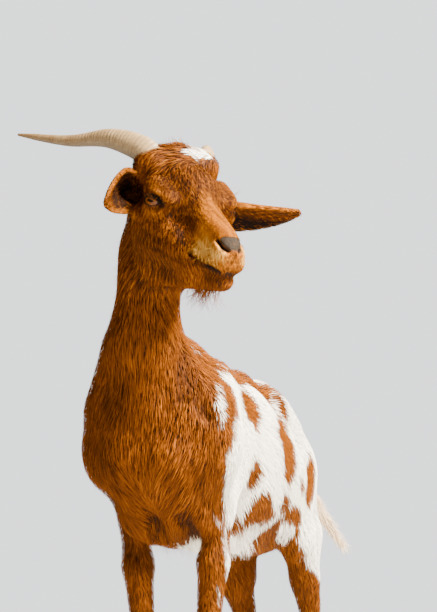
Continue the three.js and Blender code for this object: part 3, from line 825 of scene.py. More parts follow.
def refined(points, quads, zones):
    """The quads cut finer in each zone in turn, as points and triangles."""
    sheet = bmesh.new()
    verts = [sheet.verts.new(p) for p in points]
    for quad in quads:
        try:
            sheet.faces.new([verts[i] for i in quad])
        except ValueError:
            continue
    for zone in zones:
        faces = sheet.faces[:]
        middles = np.array([face.calc_center_median() for face in faces])
        edges = {edge for face, keep in zip(faces, zone(middles)) if keep for edge in face.edges}
        bmesh.ops.subdivide_edges(sheet, edges=list(edges), cuts=1, use_grid_fill=True)
    bmesh.ops.triangulate(sheet, faces=sheet.faces[:])
    sheet.verts.index_update()
    points = np.array([v.co[:] for v in sheet.verts])
    faces = np.array([[v.index for v in f.verts] for f in sheet.faces])
    sheet.free()
    return points, faces


def vertex_normals(points, faces):
    a, b, c = (points[faces[:, k]] for k in range(3))
    flat = np.cross(b - a, c - a)
    total = np.zeros_like(points)
    for k in range(3):
        np.add.at(total, faces[:, k], flat)
    return total / np.maximum(np.linalg.norm(total, axis=1, keepdims=True), 1e-12)


# ---------------------------------------------------------------- the face


class Eye:
    """Where one eye looks, and the almond that the lids leave open."""

    HALF_WIDTH = 10.6
    UPPER, LOWER = 5.9, 5.4  # how far the lids open above and below the pupil

    def __init__(self, side):
        mirror = np.array([side, 1, 1])
        self.place = EYE_PLACE * mirror
        self.gaze = EYE_GAZE * mirror / np.linalg.norm(EYE_GAZE)
        ahead = np.array([0, -1, -0.08])
        fore = ahead - self.gaze * (self.gaze @ ahead)
        self.fore = fore / np.linalg.norm(fore)
        up = np.cross(self.gaze, self.fore)
        self.up = up if up[2] > 0 else -up

    def local(self, head):
        rel = head - self.place
        return np.stack([rel @ self.fore, rel @ self.up, rel @ self.gaze], 1)

    def gap(self, head):
        """How far places of the head are from the front of the ball."""
        return np.linalg.norm(head - self.place - self.gaze * 14, axis=1)

    def almond(self, local):
        """0 at the pupil, 1 at the lids' edge."""
        half = np.where(local[:, 1] > 0, self.UPPER, self.LOWER)
        return np.sqrt((np.abs(local[:, 0]) / self.HALF_WIDTH) ** 1.8 + (local[:, 1] / half) ** 2)


EYES = {"left": Eye(LEFT), "right": Eye(RIGHT)}
LID_EDGE = 1.02  # where the lids end, as the almond counts
LID_THICKNESS = 1.7
SOCKET_DEPTH = 1.8  # how far the opening sinks below the ball's surface


def opened(points, eye):
    """The skin round one eye: lids over the ball, an edge, and an opening that sinks behind the ball."""
    head = to_head(points)
    near = np.nonzero(eye.gap(head) < 26)[0]
    local = eye.local(head[near])
    front = local[:, 2] > 2
    near, local = near[front], local[front]
    a = np.maximum(eye.almond(local), 1e-6)
    snap = (a > 0.8) & (a < LID_EDGE)
    across = np.where(snap, LID_EDGE / a, 1)[:, None]
    flat = local[:, :2] * across
    a = np.where(snap, LID_EDGE, a)
    out = np.linalg.norm(flat, axis=1)
    reach = np.linalg.norm(local, axis=1)
    wanted = np.where(a < 1, EYE_RADIUS - SOCKET_DEPTH, EYE_RADIUS + LID_THICKNESS)
    fade = np.maximum(smoothly(a, 1.45, 2.0), smoothly(out, 13.0, 16.5))
    wanted = wanted + fade * (reach - wanted)
    fold = 1.0 * np.exp(-(((a - 1.6) / 0.16) ** 2)) * (local[:, 1] > 0)
    wanted = wanted - fold
    deep = np.sqrt(np.maximum(wanted**2 - out**2, 9))
    moved = np.column_stack([flat, np.where(fade < 1, deep, local[:, 2])])
    points = points.copy()
    place = eye.place + moved[:, :1] * eye.fore + moved[:, 1:2] * eye.up + moved[:, 2:] * eye.gaze
    points[near] = from_head(place)
    return points


def along_lines(points, path):
    """How far each point is from a line through the places, and how far along it the nearest place is."""
    fine = path_through(path, 40)
    gap = np.linalg.norm(points[:, None, :] - fine[None], axis=2)
    return gap.min(1), gap.argmin(1) / 39


# A crease in the face: places in the head's frame, depth and width.
CREASES = [
    (((-33, -168, -12), (-30, -175, -15), (-21, -199, -21), (-15, -213, -23), (-8, -219, -24), (0, -221, -24),
      (8, -219, -24), (15, -213, -23), (21, -199, -21), (30, -175, -15), (33, -168, -12)), 4.0, 2.4),
    (((0, -216, 2), (0, -219, -8), (0, -219, -22)), 1.3, 1.8),
]
CREASE_PAIRS = [
    (((17, -203, 12), (16, -210, 8.5), (14, -216, 4), (8, -220.5, 0.5)), 6.5, 2.3),
    (((56, -112, 44), (50, -119, 41), (46, -124, 33), (42, -131, 22)), 1.6, 2.6),
    (((29, -172, -14), (34, -162, -6), (37, -152, 0)), 1.2, 3.5),
    (((20, -196, 14), (22, -203, 4), (19, -211, -5)), 1.0, 2.2),
]
NOSTRILS = (CREASE_PAIRS[0][0], mirrored(CREASE_PAIRS[0][0]))
MOUTH = CREASES[0][0]
# A raised fold or bone of the face: places, height and width.
RIDGES = [
    (((20, -207, 13), (19, -213, 6), (14, -219, 0)), 0.8, 2.4),
    (((62, -84, 58), (60, -97, 58), (54, -110, 54)), 1.6, 4.5),
    (((63, -88, 30), (60, -100, 28), (54, -112, 32)), 1.0, 4.0),
]


def sculpted(points, faces):
    """The skin with its creases, folds and eye openings."""
    head = to_head(points)
    near = np.nonzero((np.abs(head) < (90, 240, 130)).all(1) & (head[:, 1] < -60))[0]
    normals = vertex_normals(points, faces)[near]
    rise = np.zeros(len(near))
    for path, depth, width in CREASES + both_paths(CREASE_PAIRS):
        rise -= depth * np.exp(-((along_lines(head[near], path)[0] / width) ** 2))
    for path, height, width in both_paths(RIDGES):
        rise += height * np.exp(-((along_lines(head[near], path)[0] / width) ** 2))
    points = points.copy()
    points[near] += rise[:, None] * normals
    for eye in EYES.values():
        points = opened(points, eye)
    return points


def snout(head, back, top, bottom, half):
    """Which places of the head are in front of `back`, between two heights and two sides."""
    return (head[:, 1] < back) & (head[:, 2] < top) & (head[:, 2] > bottom) & (np.abs(head[:, 0]) < half)


def eye_zone(middles, reach=19):
    head = to_head(middles)
    return np.min([eye.gap(head) for eye in EYES.values()], axis=0) < reach


def face_zone(middles):
    return snout(to_head(middles), -160, 40, -60, 50) | eye_zone(middles, 30)


def finer_zone(middles):
    return snout(to_head(middles), -190, 24, -36, 34) | eye_zone(middles)


net_points, net_quads = surface_net(SKIN_GRID, skin_field)
skin_points, skin_faces = refined(settled(net_points), net_quads, [face_zone, finer_zone])
rest_points = settled(skin_points, passes=3)
skin_points = sculpted(rest_points, skin_faces)


# ---------------------------------------------------------------- how the hair lies

# A place, the way the hair lies there, and its length. Places off the midline stand for both sides.
LIE = [
    ((0, -345, 720), (0, 0.15, -1), 15), ((0, -352, 640), (0, 0.05, -1), 20),
    ((0, -330, 560), (0, 0, -1), 22), ((48, -295, 720), (0, 0.05, -1), 15),
    ((52, -295, 640), (0, 0, -1), 18), ((60, -290, 570), (0.1, 0, -1), 18),
    ((0, -240, 720), (0, 0.15, -1), 18), ((0, -235, 650), (0, 0.45, -0.9), 20),
    ((0, -190, 612), (0, 1, -0.25), 18), ((0, -80, 622), (0, 1, -0.05), 18),
    ((0, 60, 638), (0, 1, 0.05), 18), ((0, 180, 636), (0, 1, -0.1), 18),
    ((0, 265, 600), (0, 0.7, -0.7), 22), ((0, -318, 500), (0, 0.05, -1), 22),
    ((0, -310, 440), (0, 0.25, -1), 22), ((72, -300, 500), (-0.1, 0, -1), 18),
    ((62, -292, 430), (-0.6, 0.1, -0.8), 20), ((30, -318, 420), (-0.5, 0.1, -0.8), 22),
    ((30, -270, 392), (-0.6, 0.3, -0.8), 24), ((0, -255, 378), (0, 0.6, -0.8), 24),
    ((0, -180, 348), (0, 0.9, -0.4), 20), ((0, -60, 344), (0, 1, -0.1), 18),
    ((0, 90, 366), (0, 1, 0.1), 16), ((98, -235, 500), (0, 0.45, -0.9), 16),
    ((88, -200, 420), (0, 0.3, -1), 16), ((90, -262, 440), (-0.2, 0.2, -1), 16),
    ((78, -170, 550), (0.2, 0.7, -0.7), 17), ((62, -90, 580), (0.3, 0.85, -0.45), 18),
    ((88, -60, 540), (0.1, 0.85, -0.5), 18), ((102, -40, 470), (0, 0.78, -0.62), 19),
    ((85, -40, 400), (-0.25, 0.75, -0.6), 20), ((80, -130, 480), (0, 0.75, -0.65), 18),
    ((80, 80, 560), (0.1, 0.9, -0.4), 17), ((92, 60, 470), (0, 0.8, -0.55), 19),
    ((76, 60, 405), (-0.1, 0.7, -0.7), 24), ((60, 200, 592), (0.2, 0.8, -0.6), 17),
    ((84, 180, 490), (0, 0.45, -0.9), 17), ((80, 190, 400), (0, 0.3, -1), 16),
    ((72, 110, 420), (0, 0.55, -0.85), 20), ((50, 296, 480), (0, 0.1, -1), 22),
    ((42, 292, 410), (0, 0.1, -1), 20), ((14, 190, 420), (0, 0.2, -1), 10),
    ((62, 190, 350), (0, 0.4, -0.9), 13), ((60, 262, 320), (0, 0.15, -1), 13),
    ((62, -190, 350), (0, 0.1, -1), 13), ((50, -200, 240), (0, 0, -1), 9), ((48, -200, 130), (0, 0, -1), 8),
    ((48, -206, 50), (0, -0.1, -1), 7), ((52, 270, 260), (0, 0.1, -1), 10),
    ((50, 272, 150), (0, -0.05, -1), 8), ((50, 262, 50), (0, -0.2, -1), 7),
]
LIE_ALONE = [
    ((0, 310, 568), (0, 0.8, -0.6), 34), ((2, 338, 530), (0.15, 0.5, -0.9), 44),
    ((24, 352, 488), (0.5, 0.2, -0.85), 40), ((58, 364, 432), (0.6, 0.1, -0.8), 28),
]
# The same about the head, in its own frame.
LIE_HEAD = [
    ((0, -185, 24), (0, -1, -0.2), 6), ((0, -150, 36), (0, -1, -0.3), 8),
    ((0, -112, 64), (0, -1, -0.35), 9), ((12, -205, 15), (0.3, -1, -0.2), 2.6),
    ((48, -84, 74), (0.5, -0.8, -0.3), 8), ((58, -110, 62), (0.3, -0.9, -0.2), 6),
    ((66, -95, 58), (0.5, -0.5, 0.3), 5), ((60, -104, 28), (0.1, -0.5, -0.9), 5),
    ((62, -82, 30), (0.1, 0.2, -1), 7), ((50, -70, 8), (0, -0.2, -1), 11),
    ((44, -105, 4), (0, -0.45, -0.9), 9), ((32, -140, -4), (0, -0.5, -0.85), 9),
    ((25, -172, -6), (0, -0.6, -0.8), 6.5), ((17, -208, -12), (0.1, -0.5, -0.85), 3.6),
    ((26, -160, 16), (0.1, -0.8, -0.5), 8), ((0, -210, -34), (0, 0.3, -1), 9),
    ((14, -190, -40), (0, 0.3, -1), 12), ((0, -188, -54), (0, 0.5, -0.9), 18),
    ((26, -120, -50), (0, 0.35, -0.95), 15), ((0, -120, -66), (0, 0.7, -0.7), 16),
    ((36, -60, -52), (0, 0.45, -0.9), 17), ((0, -50, -72), (0, 0.6, -0.8), 18),
    ((46, -30, -20), (0, 0.3, -1), 15), ((60, -60, 56), (0.3, 0.5, -0.6), 9),
    ((56, -40, 30), (0.2, 0.5, -0.85), 11), ((0, 20, 60), (0, 0.5, -0.9), 15),
    ((34, 6, 40), (0.2, 0.5, -0.85), 14), ((0, 24, 20), (0, 0.2, -1), 16),
]
LIE_HEAD_ALONE = [
    ((32, -66, 92), (0.1, -0.9, -0.5), 14), ((14, -58, 100), (-1, -0.05, 0.05), 20),
    ((-10, -56, 100), (-1, -0.05, -0.05), 20), ((-28, -64, 92), (-0.8, -0.5, -0.4), 15),
    ((30, -34, 104), (-0.6, 0.6, 0.3), 18), ((-10, -30, 104), (-0.9, 0.4, 0), 20),
    ((10, -80, 86), (-0.3, -0.85, -0.55), 13), ((-14, -82, 86), (-0.3, -0.85, -0.5), 13),
    ((48, -60, 84), (0.8, -0.5, -0.4), 12),
]


def guides():
    """Every place, lie and length in the body's own frame."""
    rows = []
    tables = ((LIE, True, False), (LIE_ALONE, False, False))
    tables += ((LIE_HEAD, True, True), (LIE_HEAD_ALONE, False, True))
    for table, paired, head in tables:
        for place, lie, length in table:
            for side in (LEFT, RIGHT) if paired and place[0] else (LEFT,):
                mirror = np.array([side, 1, 1])
                at, way = place * mirror, lie * mirror / np.linalg.norm(lie)
                rows.append((from_head(at), HEAD_AXES @ way, length) if head else (at, way, length))
    for ear in EAR_SHEETS.values():
        for i in range(4, ear.STATIONS, 11):
            t = i / (ear.STATIONS - 1)
            for side in (-0.6, 0.6):
                half = ear.breadth * along_table(EAR_WIDTH, t)
                at = ear.places[i] + ear.up[i] * side * half
                way = ear.on[i] + 0.35 * side * ear.up[i]
                rows.append((from_head(at), HEAD_AXES @ (way / np.linalg.norm(way)), 9 - 3.5 * t))
    places, ways, lengths = zip(*rows)
    return np.array(places), np.array(ways), np.array(lengths, float)


GUIDES = guides()


def lie_of_hair(p):
    """The way the hair lies and its length, from the nearest guides."""
    places, ways, lengths = GUIDES
    gap2 = ((p[:, None, :] - places[None]) ** 2).sum(2) + 30
    weight = gap2**-2
    weight /= weight.sum(1, keepdims=True)
    return weight @ ways, weight @ lengths


def unit(v):
    return v / np.maximum(np.linalg.norm(v, axis=1, keepdims=True), 1e-9)


def noise(p, size, seed):
    """A smooth wandering value, about -1 to 1, with lumps of the given size."""
    own = np.random.default_rng(seed)
    total = np.zeros(len(p))
    for _ in range(6):
        wave = own.normal(size=3)
        wave *= 2 * math.pi / size / np.linalg.norm(wave) * own.uniform(0.6, 1.5)
        total += np.sin(p @ wave + own.uniform(0, 6.28))
    return total / 2.5


# ---------------------------------------------------------------- markings

# Places on the trunk are named by how far back they are and by their angle round it, up from the left side.
TRUNK_HEIGHT = 480
GIRTH = 1.65  # millimetres to a degree round the trunk
# Where the white of the trunk starts behind the shoulder: angle, and how far forward.
WHITE_FRONT = (
    (-90, -205), (-59, -203), (-54, -214), (-47, -220), (-37, -237), (-28, -257), (-19, -267), (-13, -264),
    (-3, -259), (6, -255), (18, -234), (30, -216), (40, -212), (47, -221), (57, -217), (90, -200),
)
# How low it comes on the thigh: place along the body, and height.
WHITE_LOW = ((95, 300), (109, 418), (126, 391), (160, 365), (208, 346), (255, 360), (300, 380))
# Brown patches on the white of the left flank, as outlines.
PATCHES = [
    ((-130, 53), (-90, 57), (-80, 52), (-80, 45), (-86, 36), (-99, 29), (-114, 20), (-122, 21), (-127, 28),
     (-143, 30), (-143, 36), (-141, 43)),
    ((-217, 57), (-147, 66), (-60, 76), (42, 84), (129, 82), (106, 76), (96, 75), (39, 73), (-25, 69),
     (-47, 70), (-136, 60), (-208, 54)),
    ((-214, 60), (-147, 66), (-60, 76), (42, 84), (92, 84), (90, 100), (40, 104), (-60, 104), (-150, 112),
     (-214, 118)),
    ((134, 80), (128, 71), (130, 66), (132, 64), (125, 64), (116, 67), (111, 72), (117, 78), (130, 88)),
    ((98, 71), (108, 67), (115, 64), (126, 61), (122, 59), (110, 62), (102, 67)),
    ((-19, 38), (60, 56), (110, 63), (122, 58), (111, 47), (104, 38), (72, 22), (61, 8), (43, -3),
     (17, -13), (-6, -12), (-23, -7), (-30, 3), (-31, 13), (-37, 20), (-38, 27)),
    ((-114, -6), (-99, -10), (-88, -14), (-89, -20), (-98, -24), (-98, -29), (-101, -33), (-110, -31),
     (-125, -23), (-123, -15)),
    ((-79, -33), (-62, -29), (-50, -33), (-29, -39), (-2, -41), (-7, -46), (-35, -50), (-52, -56),
     (-68, -57), (-83, -55), (-86, -48), (-88, -42)),
    ((6, -24), (40, -26), (53, -31), (34, -36), (10, -35), (-3, -30)),
    ((203, 41), (218, 35), (224, 23), (221, 8), (203, -9), (174, -22), (147, -21), (124, -11), (134, 5),
     (187, 28)),
    ((98, 1), (108, -2), (106, -11), (93, -13), (84, -6)),
    ((59, -33), (79, -27), (104, -29), (115, -34), (112, -42), (75, -41), (42, -44), (62, -56), (95, -65),
     (125, -81), (130, -95), (60, -92), (40, -80), (14, -67), (3, -69), (-10, -60), (5, -50), (30, -41)),
    ((-202, -57), (-72, -61), (-63, -59), (-65, -64), (-77, -68), (-200, -61)),
]
# White among the brown of the left shoulder.
SHOULDER_WHITE = (
    (-235, 53), (-244, 43), (-258, 31), (-263, 20), (-268, 12), (-276, 0), (-277, 6), (-275, 14),
    (-275, 23), (-265, 36),
)
# The right flank's patches are some of the left's, further back and lower.
RIGHT_PATCHES = (0, 5, 7, 9, 11)
# Patches as muscles are: start, end, start radius and end radius.
FORELEG_BROWN = [((56, -214, 392), (48, -212, 300), 22, 22), ((48, -208, 300), (48, -202, 214), 28, 24),
                 ((-58, -206, 392), (-46, -194, 214), 26, 26)]
WHITE_SPOTS = [
    ((43, -247, 608), (50, -245, 596), 4, 4), ((65, -227, 379), (72, -211, 369), 1, 1),
    ((66, -207, 283), (66, -205, 267), 1, 1),
]
# On the head, in its own frame.
POLL_WHITE = [((5, -57, 109), (16, -54, 109), 4, 7), ((16, -54, 109), (37, -45, 106), 8, 7)]
BROW_GOLD = [((62, -76, 64), (56, -116, 54), 8, 6), ((62, -86, 29), (53, -114, 32), 5, 4)]
BRIDGE_GOLD = [((0, -152, 40), (0, -208, 14), 14, 16), ((0, -122, 60), (0, -152, 40), 5, 14),
               ((20, -166, 16), (17, -210, -4), 13, 15), ((27, -168, 0), (20, -214, -8), 13, 13)]
# Paler gold on the side of the muzzle: its own golden tone, lightened as painted light.
MUZZLE_PALE = [((27, -172, 2), (20, -212, -6), 12, 12), ((12, -216, -10), (0, -222, -12), 10, 8)]
# Deeper chestnut on the forehead, and painted shade over the temples and the cheeks.
FOREHEAD_DEEP_AND_SHADE = [((-12, -70, 98), (-8, -132, 60), 38, 30), ((38, -90, 74), (30, -128, 50), 16, 16),
                 ((50, -74, -10), (36, -120, -30), 30, 24)]
LIP_SPECKS = [((22, -192, -12), (8, -222, -12), 8, 9), ((20, -186, -32), (6, -214, -34), 9, 9)]
NOSE_PAD = [((-9, -212, 11), (9, -212, 11), 7, 7), ((-9, -217, 5), (9, -217, 5), 5.5, 5.5),
            ((-12, -218, 3), (12, -218, 3), 4.5, 4.5)]
TEAR_DARK = [((56, -113, 45), (49, -119, 42), 3.5, 3), ((48, -117, 42), (40, -116, 32), 3, 4),
             ((40, -116, 32), (38, -134, 16), 4, 4.5), ((38, -134, 16), (34, -150, 2), 4.5, 4.5),
             ((34, -150, 2), (31, -168, -10), 4.5, 4)]
# Painted shade along the mouth's crease and the groove of the upper lip.
MOUTH_DARK = [((33, -168, -12), (21, -199, -21), 3.6, 4.2), ((21, -199, -21), (14, -214, -24), 4.2, 4),
              ((14, -214, -24), (0, -220, -25), 4, 3.8), ((0, -222, -4), (0, -221, -18), 2.2, 1.8)]


def patch_of(rows, p, own_noise, soft=1.6):
    """1 inside the patches, 0 outside, with a wandering edge."""
    d = joined(muscles([(a, b, ra, rb, 1, 3) for a, b, ra, rb in rows]), p)[0] + own_noise
    return smoothly(d, soft, -soft)


def within(outline, back, angle, own_noise, soft=1.6):
    """1 inside a closed outline on the trunk, 0 outside, with a wandering edge."""
    corners = np.array(outline, float) * (1, GIRTH)
    ahead = np.roll(corners, -1, axis=0) - corners
    place = np.stack([back, angle * GIRTH], 1)
    made = np.zeros(len(place))
    close = (place > corners.min(0) - 8).all(1) & (place < corners.max(0) + 8).all(1)
    near = np.nonzero(close)[0]
    rel = place[near, None] - corners
    t = np.clip((rel * ahead).sum(2) / np.maximum((ahead**2).sum(1), 1e-9), 0, 1)
    gap = np.linalg.norm(rel - t[..., None] * ahead, axis=2).min(1)
    straddles = (rel[..., 1] < 0) != (rel[..., 1] - ahead[:, 1] < 0)
    rise = np.where(ahead[:, 1] == 0, 1, ahead[:, 1])
    crossed = straddles & (rel[..., 0] < rel[..., 1] * ahead[:, 0] / rise)
    inside = crossed.sum(1) % 2 == 1
    made[near] = smoothly(np.where(inside, gap, -gap) - own_noise[near], -soft, soft)
    return made


def trunk_white(p):
    """How white each place of the body is, without the head and the tail."""
    rough = 1.6 * noise(p * (1, 1, 0.7), 26, 3) + 1.2 * noise(p, 9, 4)
    back, angle = p[:, 1], np.degrees(np.arctan2(p[:, 2] - TRUNK_HEIGHT, p[:, 0]))
    angle = np.where(angle < -90, angle + 360, angle)
    on_right = angle > 118
    mirror = np.where(angle > 90, 180 - angle, angle)
    front = np.interp(mirror, *zip(*WHITE_FRONT)) + np.where(angle > 90, 22 + 12 * np.sin(p[:, 2] / 24), 0)
    low = np.interp(back, *zip(*WHITE_LOW))
    white = smoothly(back - front + rough, -2, 2)
    white = np.maximum(white, within(SHOULDER_WHITE, back, angle, rough * 0.5 + 3))
    white *= smoothly(p[:, 2] - low + 1.5 * rough, -2, 2) * (p[:, 2] > 300)
    brown = patch_of(FORELEG_BROWN, p, rough)
    for number, outline in enumerate(PATCHES):
        brown = np.maximum(brown, within(outline, back, angle, rough - 3) * ~on_right)
        if number in RIGHT_PATCHES:
            brown = np.maximum(brown, within(outline, back / 1.1 - 24, mirror + 5, rough) * on_right)
    inner_thigh = smoothly(np.abs(p[:, 0]), 62, 54) * smoothly(p[:, 2], 402, 392) * (back > 90)
    white = np.minimum(white, 1 - np.maximum(brown, inner_thigh))
    tail = tail_of(p)
    return np.maximum(white * (1 - tail), np.maximum(0.5 * tail, patch_of(WHITE_SPOTS, p, rough * 0.4)))


def tail_of(p):
    return smoothly(p[:, 1], 296, 312) * smoothly(p[:, 2], 380, 400)


def lids_of(eye, h):
    """The dark skin of the lids, 0 to 1, at places of the head."""
    local = eye.local(h)
    upper = local[:, 1] > 0
    around = eye.almond(local) - np.where(upper, 0.22 + 0.012 * local[:, 0], 0.0)
    edge = np.where(upper, 1.44, 1.16)
    return smoothly(around, edge, edge - 0.14) * (local[:, 2] > 0)


def ear_tones(name, ear, h):
    """Painted shade in the hollow of an ear, and its golden rim, 0 to 1, at places of the head."""
    t, w, u, _, beyond = ear.coordinates(h)
    cup = along_table(EAR_CUP, t)
    out = u - (cup * np.clip(w, -1, 1) ** 2 - cup / 2)
    mine = (np.abs(out) < 9) & (np.abs(u) < 40) & (beyond < 9) & (np.abs(w) < 1.3)
    edge = w + 0.05 * noise(h, 9, 12)
    if name == "left":
        hollow = smoothly(edge, 0.7 * t - 0.1, 0.25 + 0.7 * t) * smoothly(edge, 1.02, 0.94)
        hairy = smoothly(noise(h * (0.4, 0.4, 1), 5, 21), -0.6, 0.7)
        hollow = np.maximum(hollow, 0.75 * smoothly(edge, -0.75, -0.3) * hairy)
    else:
        hollow = smoothly(np.abs(edge), 0.97 - 0.1 * t, 0.8 - 0.1 * t) * smoothly(t, 0.86, 0.66)
        hollow *= 1 - 0.5 * smoothly(noise(h * (1, 1, 0.35), 7, 25), 0.3, 0.8)
    return 0.98 * mine * smoothly(out, -0.2, 0.8) * hollow, mine * smoothly(np.abs(edge), 0.78, 0.95)


def markings(p):
    """How white, how dark, how golden and how bare the skin is at each place. The dark holds painted shade in
    the folds, the ears' hollows, the nostrils, the mouth's crease, the temples and the cheeks as well as dark
    markings, and the gold holds painted light on the side of the muzzle.
    """
    head = to_head(p)
    white, gold, bare_skin = trunk_white(p), tail_of(p), np.zeros(len(p))
    # Painted shade: darker where the folds draw the skin in.
    dark = np.clip(folded(p) / 12, 0, 0.75)
    near = np.nonzero(np.linalg.norm(head, axis=1) < 260)[0]
    h = head[near]
    fine = 1.4 * noise(h, 11, 6)
    white[near] = np.maximum(white[near] * (p[near, 2] < 640), patch_of(POLL_WHITE, h, 2 * fine, 2.5))
    gold[near] = np.maximum(0.5 * patch_of(both_sides(BRIDGE_GOLD), h, 1.6 * fine, 6),
                            0.2 * patch_of(both_sides(BROW_GOLD), h, fine, 5))
    # The muzzle's own gold with painted light: paler on the side of the muzzle.
    gold[near] += 0.42 * patch_of(both_sides(MUZZLE_PALE), h, 2 * fine, 7)
    # Painted shade over the temples and cheeks, with the forehead's deeper chestnut.
    deep = 0.3 * patch_of(both_sides(FOREHEAD_DEEP_AND_SHADE), h, 2 * fine, 12) * (1 - np.minimum(2 * gold[near], 1))
    specks = patch_of(both_sides(LIP_SPECKS), h, fine, 4) * smoothly(noise(h, 3.4, 31), 0.1, 0.6)
    tears = 0.8 * patch_of(both_sides(TEAR_DARK), h, 1.2 * fine, 2.6)
    # Painted shade along the mouth's crease and the groove of the upper lip.
    mouth = 0.9 * patch_of(both_sides(MOUTH_DARK), h, 0.4 * fine, 1.6)
    dark[near] = np.max([dark[near], deep, 0.7 * specks, tears, mouth], axis=0)
    for eye in EYES.values():
        lids = lids_of(eye, h)
        dark[near] = np.maximum(dark[near], 0.97 * lids)
        gold[near] *= 1 - lids
    for name, ear in EAR_SHEETS.items():
        hollow, rim = ear_tones(name, ear, h)
        # Painted shade in the hollows of the ears.
        dark[near] = np.maximum(dark[near], hollow)
        gold[near] = np.maximum(gold[near], 0.25 * rim)
    bare_skin[near] = patch_of(NOSE_PAD, h, 0.3 * fine, 1.2)
    muzzle = np.nonzero(h[:, 1] < -180)[0]
    # Painted shade: the nostrils' slits dark.
    for line in NOSTRILS:
        slit = smoothly(along_lines(h[muzzle], line)[0], 3.4, 1.8)
        dark[near[muzzle]] = np.maximum(dark[near[muzzle]], slit)
        bare_skin[near[muzzle]] *= 1 - slit
    return {"white": white, "dark": dark, "gold": gold, "bare": bare_skin}


# ---------------------------------------------------------------- the coat

SIDES = 3  # of a tuft
ROOT_DEPTH = 0.8  # how far a tuft starts below the skin


def scattered(points, faces, density, own):
    """Places over the surface, as many per square millimetre as density says at each face."""
    a, b, c = (points[faces[:, k]] for k in range(3))
    area = np.linalg.norm(np.cross(b - a, c - a), axis=1) / 2
    run = np.cumsum(area * density)
    count = int(run[-1])
    pick = np.searchsorted(run, (np.arange(count) + own.uniform(0, 1, count)) * run[-1] / count)
    pick = np.minimum(pick, len(faces) - 1)
    u, v = own.uniform(0, 1, (2, count))
    over = u + v > 1
    u[over], v[over] = 1 - u[over], 1 - v[over]
    return a[pick] + u[:, None] * (b - a)[pick] + v[:, None] * (c - a)[pick], pick


def tufts(roots, normals, ways, lengths, widths, lift, steps, own):
    """Closed tapering tufts marched over the skin, lifting off it: points and triangles."""
    count = len(roots)
    way = unit(ways - (ways * normals).sum(1, keepdims=True) * normals)
    rings = []
    p, normal = roots - ROOT_DEPTH * normals, normals
    turn = (own.normal(0, 0.08, count) + 0.07 * noise(roots, 22, 8))[:, None]
    for step in range(steps + 1):
        t = step / steps
        if step:
            side = np.cross(normal, way)
            way = unit(way + turn * side / steps)
            p = p + way * (lengths / steps)[:, None]
            d, g = in_chunks(skin_field, p)
            normal = unit(g)
            level = lift * (t**0.8) + own.normal(0, 0.07, count) * lift * t
            p = p - normal * np.clip(d - level, -4, 4)[:, None]
            way = unit(way - (way * normal).sum(1, keepdims=True) * normal)
        if step == steps:
            rings.append(p[:, None])
            break
        side = np.cross(normal, way)
        half = widths * (0.55 + 1.5 * t - 1.35 * t * t)
        corners = [p + side * half[:, None], p - side * half[:, None], p + normal * (half * 0.55)[:, None]]
        rings.append(np.stack(corners, 1))
    points = np.concatenate(rings, 1)
    faces = [(0, 1, 2)]
    for ring in range(steps - 1):
        low, high = ring * SIDES, (ring + 1) * SIDES
        for k in range(SIDES):
            n = (k + 1) % SIDES
            faces += [(low + k, high + k, low + n), (low + n, high + k, high + n)]
    last = (steps - 1) * SIDES
    faces += [(last + k, last + SIDES, last + (k + 1) % SIDES) for k in range(SIDES)]
    faces = np.array(faces)
    per = points.shape[1]
    all_faces = (faces[None] + (np.arange(count) * per)[:, None, None]).reshape(-1, 3)
    along = np.concatenate([np.repeat(np.arange(steps) / steps, SIDES), [1.0]])
    return points.reshape(-1, 3), all_faces, per, along


def part_of(p):
    """Which part of the body each point belongs to."""
    head = to_head(p)
    names = [*GROUPS, "head", "ear_left", "ear_right"]
    near = [joined(rows, p)[0] for rows in GROUPS.values()] + [joined(HEAD_FLESH, head)[0]]
    near += [ear.distance(head) - 2 for ear in EAR_SHEETS.values()]
    return np.array(names)[np.stack(near, 1).argmin(1)]


FACE_BACK = -118  # where the muzzle's piece ends, along the head
CHEST_BACK, FLANK_BACK = -215, 120  # where the chest's and the flank's pieces end, along the body


def coat_piece_of(p, part):
    """The name of the coat piece that holds each root."""
    head = to_head(p)
    left = np.where(p[:, 0] > 0, "left", "right")
    name = np.char.add("coat_", part.astype(object).astype(str))
    name[part == "neck"] = "coat_neck"
    face = (part == "head") & (head[:, 1] < FACE_BACK)
    name[part == "head"] = np.char.add("coat_head_", np.where(head[part == "head", 0] > 0, "left", "right"))
    name[face] = "coat_muzzle"
    trunk = part == "trunk"
    zone = np.where(p[:, 1] < CHEST_BACK, "chest_", np.where(p[:, 1] < FLANK_BACK, "flank_", "rump_"))
    name[trunk] = np.char.add(np.char.add("coat_", zone[trunk]), left[trunk])
    return name


def unwrapped(p):
    """The skin's own shape laid flat for one coat piece: round its long axis, and along it."""
    middle = p.mean(0)
    _, _, axes = np.linalg.svd((p - middle)[:: max(1, len(p) // 2000)], full_matrices=False)
    q = (p - middle) @ axes.T
    round_it = np.arctan2(q[:, 2], q[:, 1]) / (2 * math.pi) + 0.5
    along = (q[:, 0] - q[:, 0].min()) / np.ptp(q[:, 0])
    return 0.01 + 0.98 * np.stack([round_it, along], 1)


PATCH = 0.003  # how wide one tuft is on the coat's map
COVER = 2.05  # how many tufts lie over each place
SLEEK = 0.62  # how far the hair shades like the smooth body below it
CLAW_TOP = 34  # no coat grows below this height


def bundles(roots, ways):
    """How light each tuft's strand is, from 0 to 1, much the same along the lie of the hair."""
    along = unit(ways)
    total = sum(noise(roots + step * along, 6, 41) for step in (0, 3.5, 7))
    strong = 0.5 + 0.15 * smoothly(roots[:, 2], 240, 400) + 0.35 * smoothly(roots[:, 2], 630, 680)
    return np.clip(0.5 + 0.42 * strong * total, 0, 1)


def tuft_width(length):
    """Half the width of a tuft of the given length at its root."""
    return 0.2 + 0.02 * length


